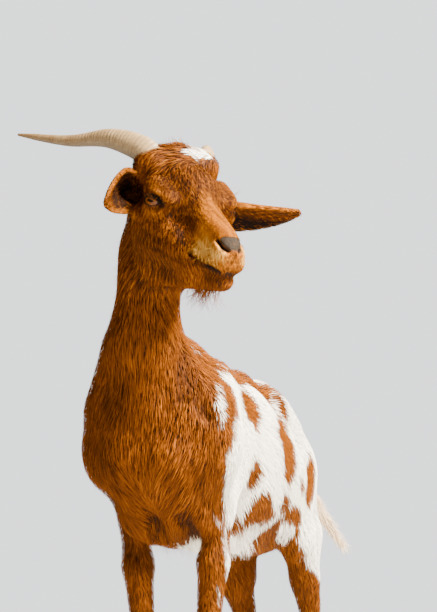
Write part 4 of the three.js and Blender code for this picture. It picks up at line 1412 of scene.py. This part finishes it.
def lay_smooth(piece, points, faces, normals, ways, per, own):
    """Shading normals between the tufts' own and the body's, each tuft turned a little about its lie."""
    body = normals + np.cross(ways, normals) * own.normal(0, 0.2, len(normals))[:, None]
    body = np.repeat(unit(body), per, axis=0)
    blended = unit(SLEEK * body + (1 - SLEEK) * vertex_normals(points, faces))
    piece.data.normals_split_custom_set_from_vertices(blended.astype(np.float32))


def map_patches(piece, roots, own_place, corners):
    """The OFBake map: a patch for each tuft or hair, at its root's place on the skin laid flat."""
    spread = (own_place - 0.5) * PATCH
    place = (unwrapped(roots)[:, None] + spread[None]).reshape(-1, 2)
    flat = piece.data.uv_layers.new(name="OFBake")
    flat.data.foreach_set("uv", np.ascontiguousarray(place[corners], np.float32).ravel())


def coat_piece(name, roots, normals, ways, lengths, own):
    """One piece of the coat, with the map that gives each tuft a patch of its own."""
    lift = 1.1 if "ear" in name else 0.95 * coat_depth(roots)
    points, faces, per, along = tufts(roots, normals, ways, lengths, tuft_width(lengths), lift, 2, own)
    count = len(roots)
    seen = 0.5 * np.maximum(lengths - 6, 0)[:, None] * unit(ways)
    marks = markings(roots + seen + own.normal(0, 1.6, (count, 3)))
    values = {label: np.repeat(mark, per) for label, mark in marks.items()}
    strand = bundles(roots, ways)
    calm = 0.6 + 0.4 * smoothly(roots[:, 2], 630, 680)
    shade = 0.5 + calm * (0.55 * own.uniform(0, 1, count) + 0.45 * strand - 0.5)
    values["shade"] = np.repeat(shade, per)
    values["gold"] *= np.repeat(np.clip(0.5 + 0.9 * strand, 0, 1), per)
    values["tip"] = np.tile(along, count)
    piece = mesh_piece(name, points, faces, COAT, **values)
    lay_smooth(piece, points, faces, normals, ways, per, own)
    round_it = np.tile([0, 1, 0.5], per // SIDES + 1)[:per]
    map_patches(piece, roots, np.column_stack([round_it, along]), faces.ravel())
    return piece


skin = mesh_piece("skin", skin_points, skin_faces, SKIN, **markings(rest_points))
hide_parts("head", "neck", "trunk", "tail", "foreleg_left", "foreleg_right",
            "hindleg_left", "hindleg_right", "ear_left", "ear_right")


def bare(p):
    """Where no hair grows: inside the lids, the nostrils and the pad of the nose."""
    head = to_head(p)
    gone = np.zeros(len(p), bool)
    for eye in EYES.values():
        local = eye.local(head)
        gone |= (eye.almond(local) < 1.35) & (local[:, 2] > 2) & (local[:, 2] < 22)
    near = np.nonzero(np.linalg.norm(head - (0, -210, 0), axis=1) < 40)[0]
    for line in NOSTRILS:
        gone[near] |= along_lines(head[near], line)[0] < 3.4
    gone[near] |= patch_of(NOSE_PAD, head[near], 0 * near) > 0.4
    gone[near] |= along_lines(head[near], MOUTH)[0] < 2.2
    return gone


def make_coat():
    """The coat's pieces, thicker where the hair is shorter, with none on the claws and the bare skin."""
    own = np.random.default_rng(5)
    normals = vertex_normals(skin_points, skin_faces)
    centres = skin_points[skin_faces].mean(1)
    _, length = in_chunks(lie_of_hair, centres, 40000)
    density = COVER / (length * tuft_width(length) * 2)
    density *= 1 + 0.3 * smoothly(-centres[:, 1], 180, 240)
    density[(centres[:, 2] < CLAW_TOP) | bare(rest_points[skin_faces].mean(1))] = 0
    roots, pick = scattered(skin_points, skin_faces, density, own)
    upright = unit(normals[skin_faces[pick]].mean(1))
    ways, lengths = in_chunks(lie_of_hair, roots, 40000)
    lengths = lengths * own.uniform(0.75, 1.2, len(roots))
    names = coat_piece_of(roots, part_of(roots))
    for name in np.unique(names):
        mine = names == name
        coat_piece(str(name), roots[mine], upright[mine], ways[mine], lengths[mine], own)


make_coat()


# ---------------------------------------------------------------- lone hairs

HAIR_SIDES, HAIR_RINGS = 3, 5


def hair_tree():
    """Geometry nodes that stand one bent, tapering hair at each point, along the point's own direction."""
    tree = bpy.data.node_groups.new("lone_hairs", "GeometryNodeTree")
    face = tree.interface
    face.new_socket("Geometry", in_out="INPUT", socket_type="NodeSocketGeometry")
    for label in ("Length", "Thickness", "Bend", "Spread"):
        face.new_socket(label, in_out="INPUT", socket_type="NodeSocketFloat")
    face.new_socket("Seed", in_out="INPUT", socket_type="NodeSocketInt")
    face.new_socket("Geometry", in_out="OUTPUT", socket_type="NodeSocketGeometry")

    def node(kind, settings, **sockets):
        made = tree.nodes.new(kind)
        for key, value in settings.items():
            setattr(made, key, value)
        for label, value in sockets.items():
            socket = made.inputs[int(label[1:]) if label[1:].isdigit() else label.replace("_", " ")]
            if isinstance(value, bpy.types.NodeSocket):
                tree.links.new(value, socket)
            else:
                socket.default_value = value
        return made.outputs

    def maths(operation, one, other):
        return node("ShaderNodeMath", {"operation": operation}, _0=one, _1=other)[0]

    given = node("NodeGroupInput", {})
    slender = maths("DIVIDE", given["Thickness"], given["Length"])
    cone = node("GeometryNodeMeshCone", {"fill_type": "NGON"}, Vertices=HAIR_SIDES, Side_Segments=HAIR_RINGS,
                Radius_Bottom=slender, Radius_Top=maths("MULTIPLY", slender, 0.12), Depth=1.0)
    height = node("ShaderNodeSeparateXYZ", {}, Vector=node("GeometryNodeInputPosition", {})[0])["Z"]
    bend = maths("MULTIPLY", maths("POWER", height, 2.0), given["Bend"])
    aside = node("ShaderNodeCombineXYZ", {}, X=bend)[0]
    bent = node("GeometryNodeSetPosition", {}, Geometry=cone["Mesh"], Offset=aside)
    vector = {"data_type": "FLOAT_VECTOR"}
    way = node("GeometryNodeInputNamedAttribute", vector, Name="way")["Attribute"]
    aimed = node("FunctionNodeAlignRotationToVector", {"axis": "Z"}, Vector=way)[0]
    less = maths("MULTIPLY", given["Spread"], -1.0)
    low = node("ShaderNodeCombineXYZ", {}, X=less, Y=less, Z=-3.14)[0]
    high = node("ShaderNodeCombineXYZ", {}, X=given["Spread"], Y=given["Spread"], Z=3.14)[0]
    swing = node("FunctionNodeRandomValue", vector, Min=low, Max=high, Seed=given["Seed"])[0]
    swung = node("FunctionNodeEulerToRotation", {}, Euler=swing)[0]
    turn = node("FunctionNodeRotateRotation", {"rotation_space": "LOCAL"}, Rotation=aimed, Rotate_By=swung)[0]
    grown = node("FunctionNodeRandomValue", {"data_type": "FLOAT"}, _2=0.6, _3=1.15, Seed=given["Seed"])[1]
    scale = maths("MULTIPLY", grown, given["Length"])
    even = node("ShaderNodeCombineXYZ", {}, X=scale, Y=scale, Z=scale)[0]
    stood = node("GeometryNodeInstanceOnPoints", {}, Points=given["Geometry"], Instance=bent[0],
                 Rotation=turn, Scale=even)
    real = node("GeometryNodeRealizeInstances", {}, Geometry=stood[0])
    dressed = node("GeometryNodeSetMaterial", {}, Geometry=real[0], Material=COAT)
    node("NodeGroupOutput", {}, Geometry=dressed[0])
    return tree


HAIR_TREE = hair_tree()


def grown_hairs(name, roots, ways, **form):
    """The hair tree run once on the roots, as a plain mesh on its object."""
    count = len(roots)
    mesh = bpy.data.meshes.new(name)
    mesh.vertices.add(count)
    mesh.vertices.foreach_set("co", metres(roots).astype(np.float32).ravel())
    layer = mesh.attributes.new("way", "FLOAT_VECTOR", "POINT")
    layer.data.foreach_set("vector", unit(ways).astype(np.float32).ravel())
    piece = set_out(name, mesh)
    grower = piece.modifiers.new("lone_hairs", "NODES")
    grower.node_group = HAIR_TREE
    for socket in HAIR_TREE.interface.items_tree:
        if socket.name in form:
            grower[socket.identifier] = form[socket.name]
    bpy.context.view_layer.update()
    reading = bpy.context.evaluated_depsgraph_get()
    grown = bpy.data.meshes.new_from_object(piece.evaluated_get(reading), depsgraph=reading)
    piece.modifiers.clear()
    piece.data = grown
    return piece


def lone_hairs(name, roots, ways, length, thickness, bend, spread, seed):
    """A piece of lone hairs with their roots in the skin, in millimetres and radians."""
    count = len(roots)
    piece = grown_hairs(name, roots, ways, Length=length * MM, Thickness=thickness * MM, Bend=bend,
                        Spread=spread, Seed=seed)
    grown = piece.data
    per = len(grown.vertices) // count
    grown.polygons.foreach_set("use_smooth", np.ones(len(grown.polygons), bool))
    own = np.random.default_rng(seed)
    marks = {label: np.repeat(mark, per) for label, mark in markings(roots).items()}
    marks["shade"] = np.repeat(own.uniform(0.2, 1, count), per)
    where = np.empty(len(grown.vertices) * 3, np.float32)
    grown.vertices.foreach_get("co", where)
    out = np.linalg.norm(where.reshape(count, per, 3) - metres(roots)[:, None], axis=2)
    marks["tip"] = (out / out.max(1, keepdims=True)).ravel()
    write_values(grown, marks)
    corners = np.empty(len(grown.loops), np.int32)
    grown.loops.foreach_get("vertex_index", corners)
    own_place = np.column_stack([np.arange(per) % HAIR_SIDES / (HAIR_SIDES - 1), out[0] / out[0].max()])
    map_patches(piece, roots, own_place, corners)
    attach(piece, "root")


# Lone hairs: name, whether in the head's frame, places along a line, count, scatter, way,
# then length, thickness, bend and spread.
LONE = [
    ("beard", True, ((4, -128, -64), (0, -160, -60), (0, -190, -52)), 210, 7,
     (0, 0.35, -1), 27, 0.36, 0.5, 0.4),
    ("chin_whiskers", True, ((-16, -196, -36), (0, -210, -40), (16, -196, -36)), 26, 4,
     (0, -0.6, -0.8), 13, 0.14, 0.15, 0.5),
    ("lip_whiskers_left", True, ((22, -196, -8), (14, -214, -14)), 16, 5,
     (1, -0.5, -0.4), 14, 0.13, 0.2, 0.5),
    ("lip_whiskers_right", True, ((-22, -196, -8), (-14, -214, -14)), 16, 5,
     (-1, -0.5, -0.4), 14, 0.13, 0.2, 0.5),
    ("lashes_left", True, ((64, -88, 50), (62, -97, 53), (58, -107, 50)), 34, 0.8,
     (0.7, -0.6, -0.15), 7, 0.16, 0.3, 0.25),
    ("lashes_right", True, ((-64, -88, 50), (-62, -97, 53), (-58, -107, 50)), 34, 0.8,
     (-0.7, -0.6, -0.15), 7, 0.16, 0.3, 0.25),
    ("brow_hairs_left", True, ((58, -96, 60), (54, -104, 62)), 7, 2,
     (0.6, -0.5, 0.9), 16, 0.16, 0.2, 0.3),
    ("brow_hairs_right", True, ((-58, -96, 60), (-54, -104, 62)), 7, 2,
     (-0.6, -0.5, 0.9), 14, 0.15, 0.2, 0.3),
    ("nape_hairs", True, ((-57, -5, -19), (-60, -12, -46), (-66, -25, -75), (-72, -35, -120)), 110, 6,
     (-0.7, 0.2, -0.8), 11, 0.18, 0.2, 0.35),
    ("elbow_hairs", False, ((-26, -214, 346), (0, -214, 344), (22, -212, 342)), 60, 6,
     (0, 0.2, -1), 17, 0.28, 0.3, 0.35),
    ("belly_fringe", False, ((20, -196, 348), (34, -110, 348), (40, 40, 362)), 420, 13,
     (0.1, 0.5, -0.9), 21, 0.4, 0.2, 0.25),
    ("flank_fringe", False, ((52, 70, 374), (58, 110, 372), (56, 140, 366)), 110, 9,
     (0, 0.6, -0.9), 18, 0.3, 0.2, 0.3),
    ("poll_tuft", True, ((-20, -40, 112), (0, -44, 114), (14, -40, 114)), 70, 5,
     (-0.6, 0.2, 0.5), 12, 0.3, 0.3, 0.5),
    ("tail_brush", False, ((14, 344, 515), (30, 352, 480), (50, 360, 450), (64, 365, 428)), 800, 8,
     (0.55, 0.1, -0.85), 36, 0.75, 0.2, 0.14),
]


STRAY_DENSITY = 0.0013  # hairs to a square millimetre
EAR_HAIRS = 120


def grow_lone_hairs():
    """The rows of the table, then stray hairs all over, then the rims of the ears."""
    own = np.random.default_rng(17)
    for seed, (name, on_head, line, count, scatter, way, *form) in enumerate(LONE):
        fine = path_through(line, 200)[own.integers(0, 200, count)] + own.normal(0, scatter, (count, 3))
        roots, ways = (from_head(fine), HEAD_AXES @ way) if on_head else (fine, np.array(way))
        roots = settled(roots, passes=7)
        close = np.abs(in_chunks(skin_field, roots)[0]) < 1
        lone_hairs(f"hair_{name}", roots[close], np.tile(ways, (close.sum(), 1)), *form, seed)
    normals = unit(vertex_normals(skin_points, skin_faces))
    roots, pick = scattered(skin_points, skin_faces, np.full(len(skin_faces), STRAY_DENSITY), own)
    ways = in_chunks(lie_of_hair, roots, 40000)[0]
    keep = (roots[:, 2] > 60) & ~bare(roots)
    ways = unit(ways) + 0.5 * normals[skin_faces[pick]].mean(1)
    lone_hairs("hair_stray", roots[keep], ways[keep], 15, 0.16, 0.2, 0.25, 31)
    for name, ear in EAR_SHEETS.items():
        i, side = own.integers(2, ear.STATIONS - 2, EAR_HAIRS), own.choice((-1, 1), EAR_HAIRS)
        t = i / (ear.STATIONS - 1)
        half = ear.breadth * along_table(EAR_WIDTH, t) * own.uniform(0.8, 1, EAR_HAIRS)
        rise = along_table(EAR_CUP, t) / 2
        rim = ear.places[i] + ear.up[i] * (side * half)[:, None] + ear.side[i] * rise[:, None]
        ways = 0.8 * ear.on[i] + ear.up[i] * side[:, None] * 0.5 + 0.3 * ear.side[i]
        roots = settled(from_head(rim), passes=4)
        lone_hairs(f"hair_ear_{name}", roots, ways @ HEAD_AXES.T, 7, 0.16, 0.25, 0.3, 41)


grow_lone_hairs()


# ---------------------------------------------------------------- closed pieces


def circle(count):
    return np.linspace(0, 2 * math.pi, count, endpoint=False)


def rounded(t, start, end, least):
    """How wide a stub is along its length, from 1 to a rounded end."""
    return np.sqrt(np.maximum(1 - smoothly(t, start, end) ** 2, least))


def hoops(places, radii, angle, across, up, flat=1.0):
    """Rings about a line of places, `flat` times as high as they are wide."""
    return [p + r * np.cos(angle)[:, None] * a + flat * r * np.sin(angle)[:, None] * u
            for p, r, a, u in zip(places, radii, across, up)]


def loft(rings):
    """Points and triangles of a surface through rings of equal count, closed at its ends."""
    count, size = len(rings), len(rings[0])
    points = np.concatenate([*rings, rings[0].mean(0)[None], rings[-1].mean(0)[None]])
    i = np.arange(size)
    n = (i + 1) % size
    faces = []
    for ring in range(count - 1):
        low, high = ring * size, (ring + 1) * size
        faces.append(np.stack([low + i, low + n, high + n], 1))
        faces.append(np.stack([low + i, high + n, high + i], 1))
    start, end = count * size, count * size + 1
    faces.append(np.stack([np.full(size, start), n, i], 1))
    faces.append(np.stack([np.full(size, end), (count - 1) * size + i, (count - 1) * size + n], 1))
    return points, np.concatenate(faces)


def closed_piece(name, points, faces, finish, slot, node=None, **values):
    """A closed shape with its faces turned outwards, which takes the place of its plain node."""
    a, b, c = (points[faces[:, k]] - points.mean(0) for k in range(3))
    if (a * np.cross(b, c)).sum() <= 0:
        faces = faces[:, ::-1]
    piece = mesh_piece(name, points, faces, finish, **values)
    if node:
        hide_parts(node)


def ends_too(values, start, end):
    """A value for each point of a loft, with those of the middles of its two ends."""
    return np.concatenate([values, [start, end]])


# ---------------------------------------------------------------- eyes


CORNEA = 0.9  # how far the cornea stands out of the ball


def eyeball(name, eye):
    """A ball with its cornea raised over the iris; across and upward are places on its face."""
    rings, around = 48, 64
    turn = np.linspace(0, math.pi, rings + 2)[1:-1]
    angle = circle(around)
    from_pupil = np.where(turn < 1.57, np.sin(turn) * EYE_RADIUS, FAR)
    cornea = CORNEA * smoothly(from_pupil, IRIS + 0.5, IRIS - 4)
    loops = []
    for k in range(rings):
        r = (EYE_RADIUS + cornea[k]) * math.sin(turn[k])
        deep = (EYE_RADIUS + cornea[k]) * math.cos(turn[k])
        loops.append(np.column_stack([r * np.cos(angle), r * np.sin(angle), np.full(around, deep)]))
    local, faces = loft(loops)
    local[-2] = (0, 0, EYE_RADIUS + CORNEA)
    local[-1] = (0, 0, -EYE_RADIUS)
    placed = eye.place + local[:, :1] * eye.fore + local[:, 1:2] * eye.up + local[:, 2:] * eye.gaze
    closed_piece(f"eyeball_{name}", from_head(placed), faces, EYEBALL, "eye", f"eye_{name}",
                 across=local[:, 0], upward=local[:, 1])


# ---------------------------------------------------------------- horns and claws


RING_GAP, FINE_RING_GAP = 5.2, 2.3  # between the growth rings of a horn


def horn(name, side):
    """The sheath of a horn, with a keel above and growth rings that fade towards the tip."""
    drop = HORN_DROP[name]
    path = [(x * side, y, z - drop * (k > 0)) for k, (x, y, z) in enumerate(HORN_PATH)]
    stations, around = 230, 40
    places = path_through(path, stations)
    _, across, up = frames_along(places, np.array([0.0, 0.0, 1.0]))
    t = np.linspace(0, 1, stations)
    radius = along_table(HORN_RADIUS, t)
    run = t * np.linalg.norm(np.diff(places, axis=0), axis=1).sum()
    wear = smoothly(t, 0.98, 0.35)
    growth = 0.55 * np.sin(run / RING_GAP * 2 * math.pi + 2.2 * np.sin(run / 31))
    growth += 0.3 * np.sin(run / FINE_RING_GAP * 2 * math.pi)
    rings = []
    angle = circle(around)
    keel = 1 + 0.16 * np.maximum(0, np.cos(angle)) ** 4
    for k in range(stations):
        r = radius[k] - 0.5 + 0.42 * wear[k] * growth[k] * (0.6 + 0.4 * np.cos(angle))
        wide, high = r * 1.08 * keel * np.cos(angle), r * 0.9 * np.sin(angle)
        rings.append(from_head(places[k] + across[k] * wide[:, None] + up[k] * high[:, None]))
    points, faces = loft(rings)
    # under follows which way each place faces, up or down, and sets the painted shade on the underside.
    closed_piece(f"horn_sheath_{name}", points, faces, HORN, "horn", f"horn_{name}",
                 along=ends_too(np.repeat(t, around), 0, 1),
                 under=ends_too(np.tile(np.cos(angle), stations), 0, 0),
                 run=ends_too(np.repeat(run, around), 0, run[-1]))


def horn_boss(name, places, radii):
    """The rounded root of a horn where it shows above the hair of the poll."""
    stations, around = 30, 36
    middle = path_through(places, stations)
    _, across, up = frames_along(middle, np.array([0.0, 0.0, 1.0]))
    t = np.linspace(0, 1, stations)
    radius = along_table(radii, t) * rounded(t, 0.6, 1.03, 0.01)
    angle = circle(around)
    wave = 1 + 0.02 * np.sin(t * 40)
    points, faces = loft([from_head(ring) for ring in hoops(middle, radius * wave, angle, across, up)])
    # under follows which way each place faces, up or down, and sets the painted shade on the underside.
    closed_piece(f"horn_boss_{name}", points, faces, HORN, "horn", along=np.full(len(points), 0.05),
                 under=ends_too(np.tile(np.cos(angle), stations), 0, 0),
                 run=ends_too(np.repeat(t * stations, around), 0, stations))


# A claw's outline on the floor, out from the cleft and forward.
CLAW = ((1, -19), (9, -22), (17, -17), (20, -4), (18, 10), (12, 21), (5, 26), (1, 22))
CORONET = 29  # the height of a claw's upper edge
RISE = math.tan(math.radians(14))  # how much higher that edge is in front


def claw(name, foot, side):
    """A hoof's half: a smooth outline carried up from the floor to the coronet, with growth lines."""
    x, y, _ = foot
    outline = path_through([(*p, 0) for p in (*CLAW[-2:], *CLAW, *CLAW[:2])], 400)[:, :2]
    from_cleft = np.linalg.norm(outline - CLAW[0], axis=1)
    start, end = np.argmin(from_cleft[:200]), 200 + np.argmin(from_cleft[200:])
    outline = outline[np.linspace(start, end, 73).astype(int)[:-1]]
    levels = np.array([0, 0.4, 1.2, *np.linspace(2.5, CORONET, 26)])
    narrow = np.interp(levels, (0, 11, CORONET), (0.985, 0.955, 0.83)) - 0.03 * (levels < 0.3)
    back = np.interp(levels, (0, 11, CORONET), (0, 3, 7))
    rings = []
    for level, part, lean in zip(levels, narrow, back):
        forward = outline[:, 1] * part - lean
        out = np.maximum(1 + (outline[:, 0] - 1) * part, 0.5)
        lift = level / CORONET * forward * RISE
        ripple = 0.16 * math.sin(level * 2.6) * smoothly(level, 1, 4) * np.minimum(outline[:, 0] / 8, 1)
        rings.append(np.column_stack([x + side * (out + ripple), y - forward, np.maximum(level + lift, 0)]))
    points, faces = loft(rings)
    closed_piece(f"hoof_{name}", points, faces, HOOF, "claw", f"claw_{name}", height=points[:, 2])


def dewclaw(name, fetlock, side):
    """A small horny knob behind the fetlock, rounded at its end."""
    x, y, z = fetlock
    line = [(x + side * 7, y + 8, z), (x + side * 8, y + 15, z - 6), (x + side * 9, y + 21.5, z - 13)]
    places = path_through(line, 14)
    _, across, up = frames_along(places, np.array([1.0, 0, 0]))
    t = np.linspace(0, 1, 14)
    radius = (6.5 - 2.2 * t) * rounded(t, 0.55, 1.02, 0.02)
    points, faces = loft(hoops(places, radius, circle(20), across, up, 0.8))
    height = points[:, 2] - z + 14
    closed_piece(f"dewhoof_{name}", points, faces, HOOF, "claw", f"dewclaw_{name}", height=height)


for side_name, side in SIDES_OF_BODY:
    for end_name, legs in (("fore", FORELEG), ("hind", HINDLEG)):
        _, _, fetlock, foot = legs[side_name]
        for place, turned in (("inner", -side), ("outer", side)):
            claw(f"{side_name}_{end_name}_{place}", foot, turned)
            dewclaw(f"{side_name}_{end_name}_{place}", fetlock, turned)

for name, side in SIDES_OF_BODY:
    horn(name, side)
    eyeball(name, EYES[name])
horn_boss("left", ((38, -40, 88), (30, -40, 98), (20, -41, 105)), (14, 13, 12))


# ---------------------------------------------------------------- camera, floor and light

LENS = 96.6
CAMERA_PLACE = np.array([795.7, -2234.6, 45.0])
CAMERA_RISE, CAMERA_TURN = math.radians(16.1), math.radians(19.8)

view = bpy.data.cameras.new("camera")
view.lens = LENS
camera = set_out("camera", view)
camera.location = Vector(metres(CAMERA_PLACE))
camera.rotation_euler = (math.pi / 2 + CAMERA_RISE, 0, CAMERA_TURN)
bpy.context.scene.camera = camera


def lamp(name, place, aim, size, power, tone=(1, 1, 1)):
    """A soft square lamp, placed and aimed in metres."""
    light = bpy.data.lights.new(name, "AREA")
    light.size = size
    light.energy = power
    light.color = tone
    piece = set_out(name, light)
    piece.location = place
    piece.rotation_euler = (Vector(aim) - Vector(place)).to_track_quat("-Z", "Y").to_euler()


lamp("key", (2.7, -1.1, 2.7), (0, -0.1, 0.5), 1.1, 1500, (1, 0.95, 0.86))
lamp("fill", (-1.6, -2.8, 1.4), (0, 0, 0.5), 2.0, 12, (1, 0.95, 0.9))
lamp("rim", (-0.4, 2.4, 2.4), (0, 0, 0.6), 1.2, 60)

ROOM_LIGHT, ROOM_SEEN = 0.14, 1.9  # how bright the room is for what it lights, and where it is seen

room = bpy.data.worlds.new("room")
room.use_nodes = True
around = room.node_tree.nodes["Background"]
around.inputs["Color"].default_value = (0.95, 0.97, 1.0, 1)
seen = room.node_tree.nodes.new("ShaderNodeLightPath")
level = room.node_tree.nodes.new("ShaderNodeMapRange")
level.inputs["To Min"].default_value = ROOM_LIGHT
level.inputs["To Max"].default_value = ROOM_SEEN
room.node_tree.links.new(seen.outputs["Is Camera Ray"], level.inputs["Value"])
room.node_tree.links.new(level.outputs[0], around.inputs["Strength"])
bpy.context.scene.world = room


FLOOR = Finish("floor", 0.9)
FLOOR.set(Base_Color=FLOOR.blend(FLOOR.speckle(3.0), linear(198, 197, 194), linear(206, 205, 202)))
ground = bmesh.new()
bmesh.ops.create_circle(ground, cap_ends=True, segments=96, radius=6.0)
floor_mesh = bpy.data.meshes.new("floor")
ground.to_mesh(floor_mesh)
ground.free()
floor_mesh.materials.append(FLOOR.material)
set_out("floor", floor_mesh)
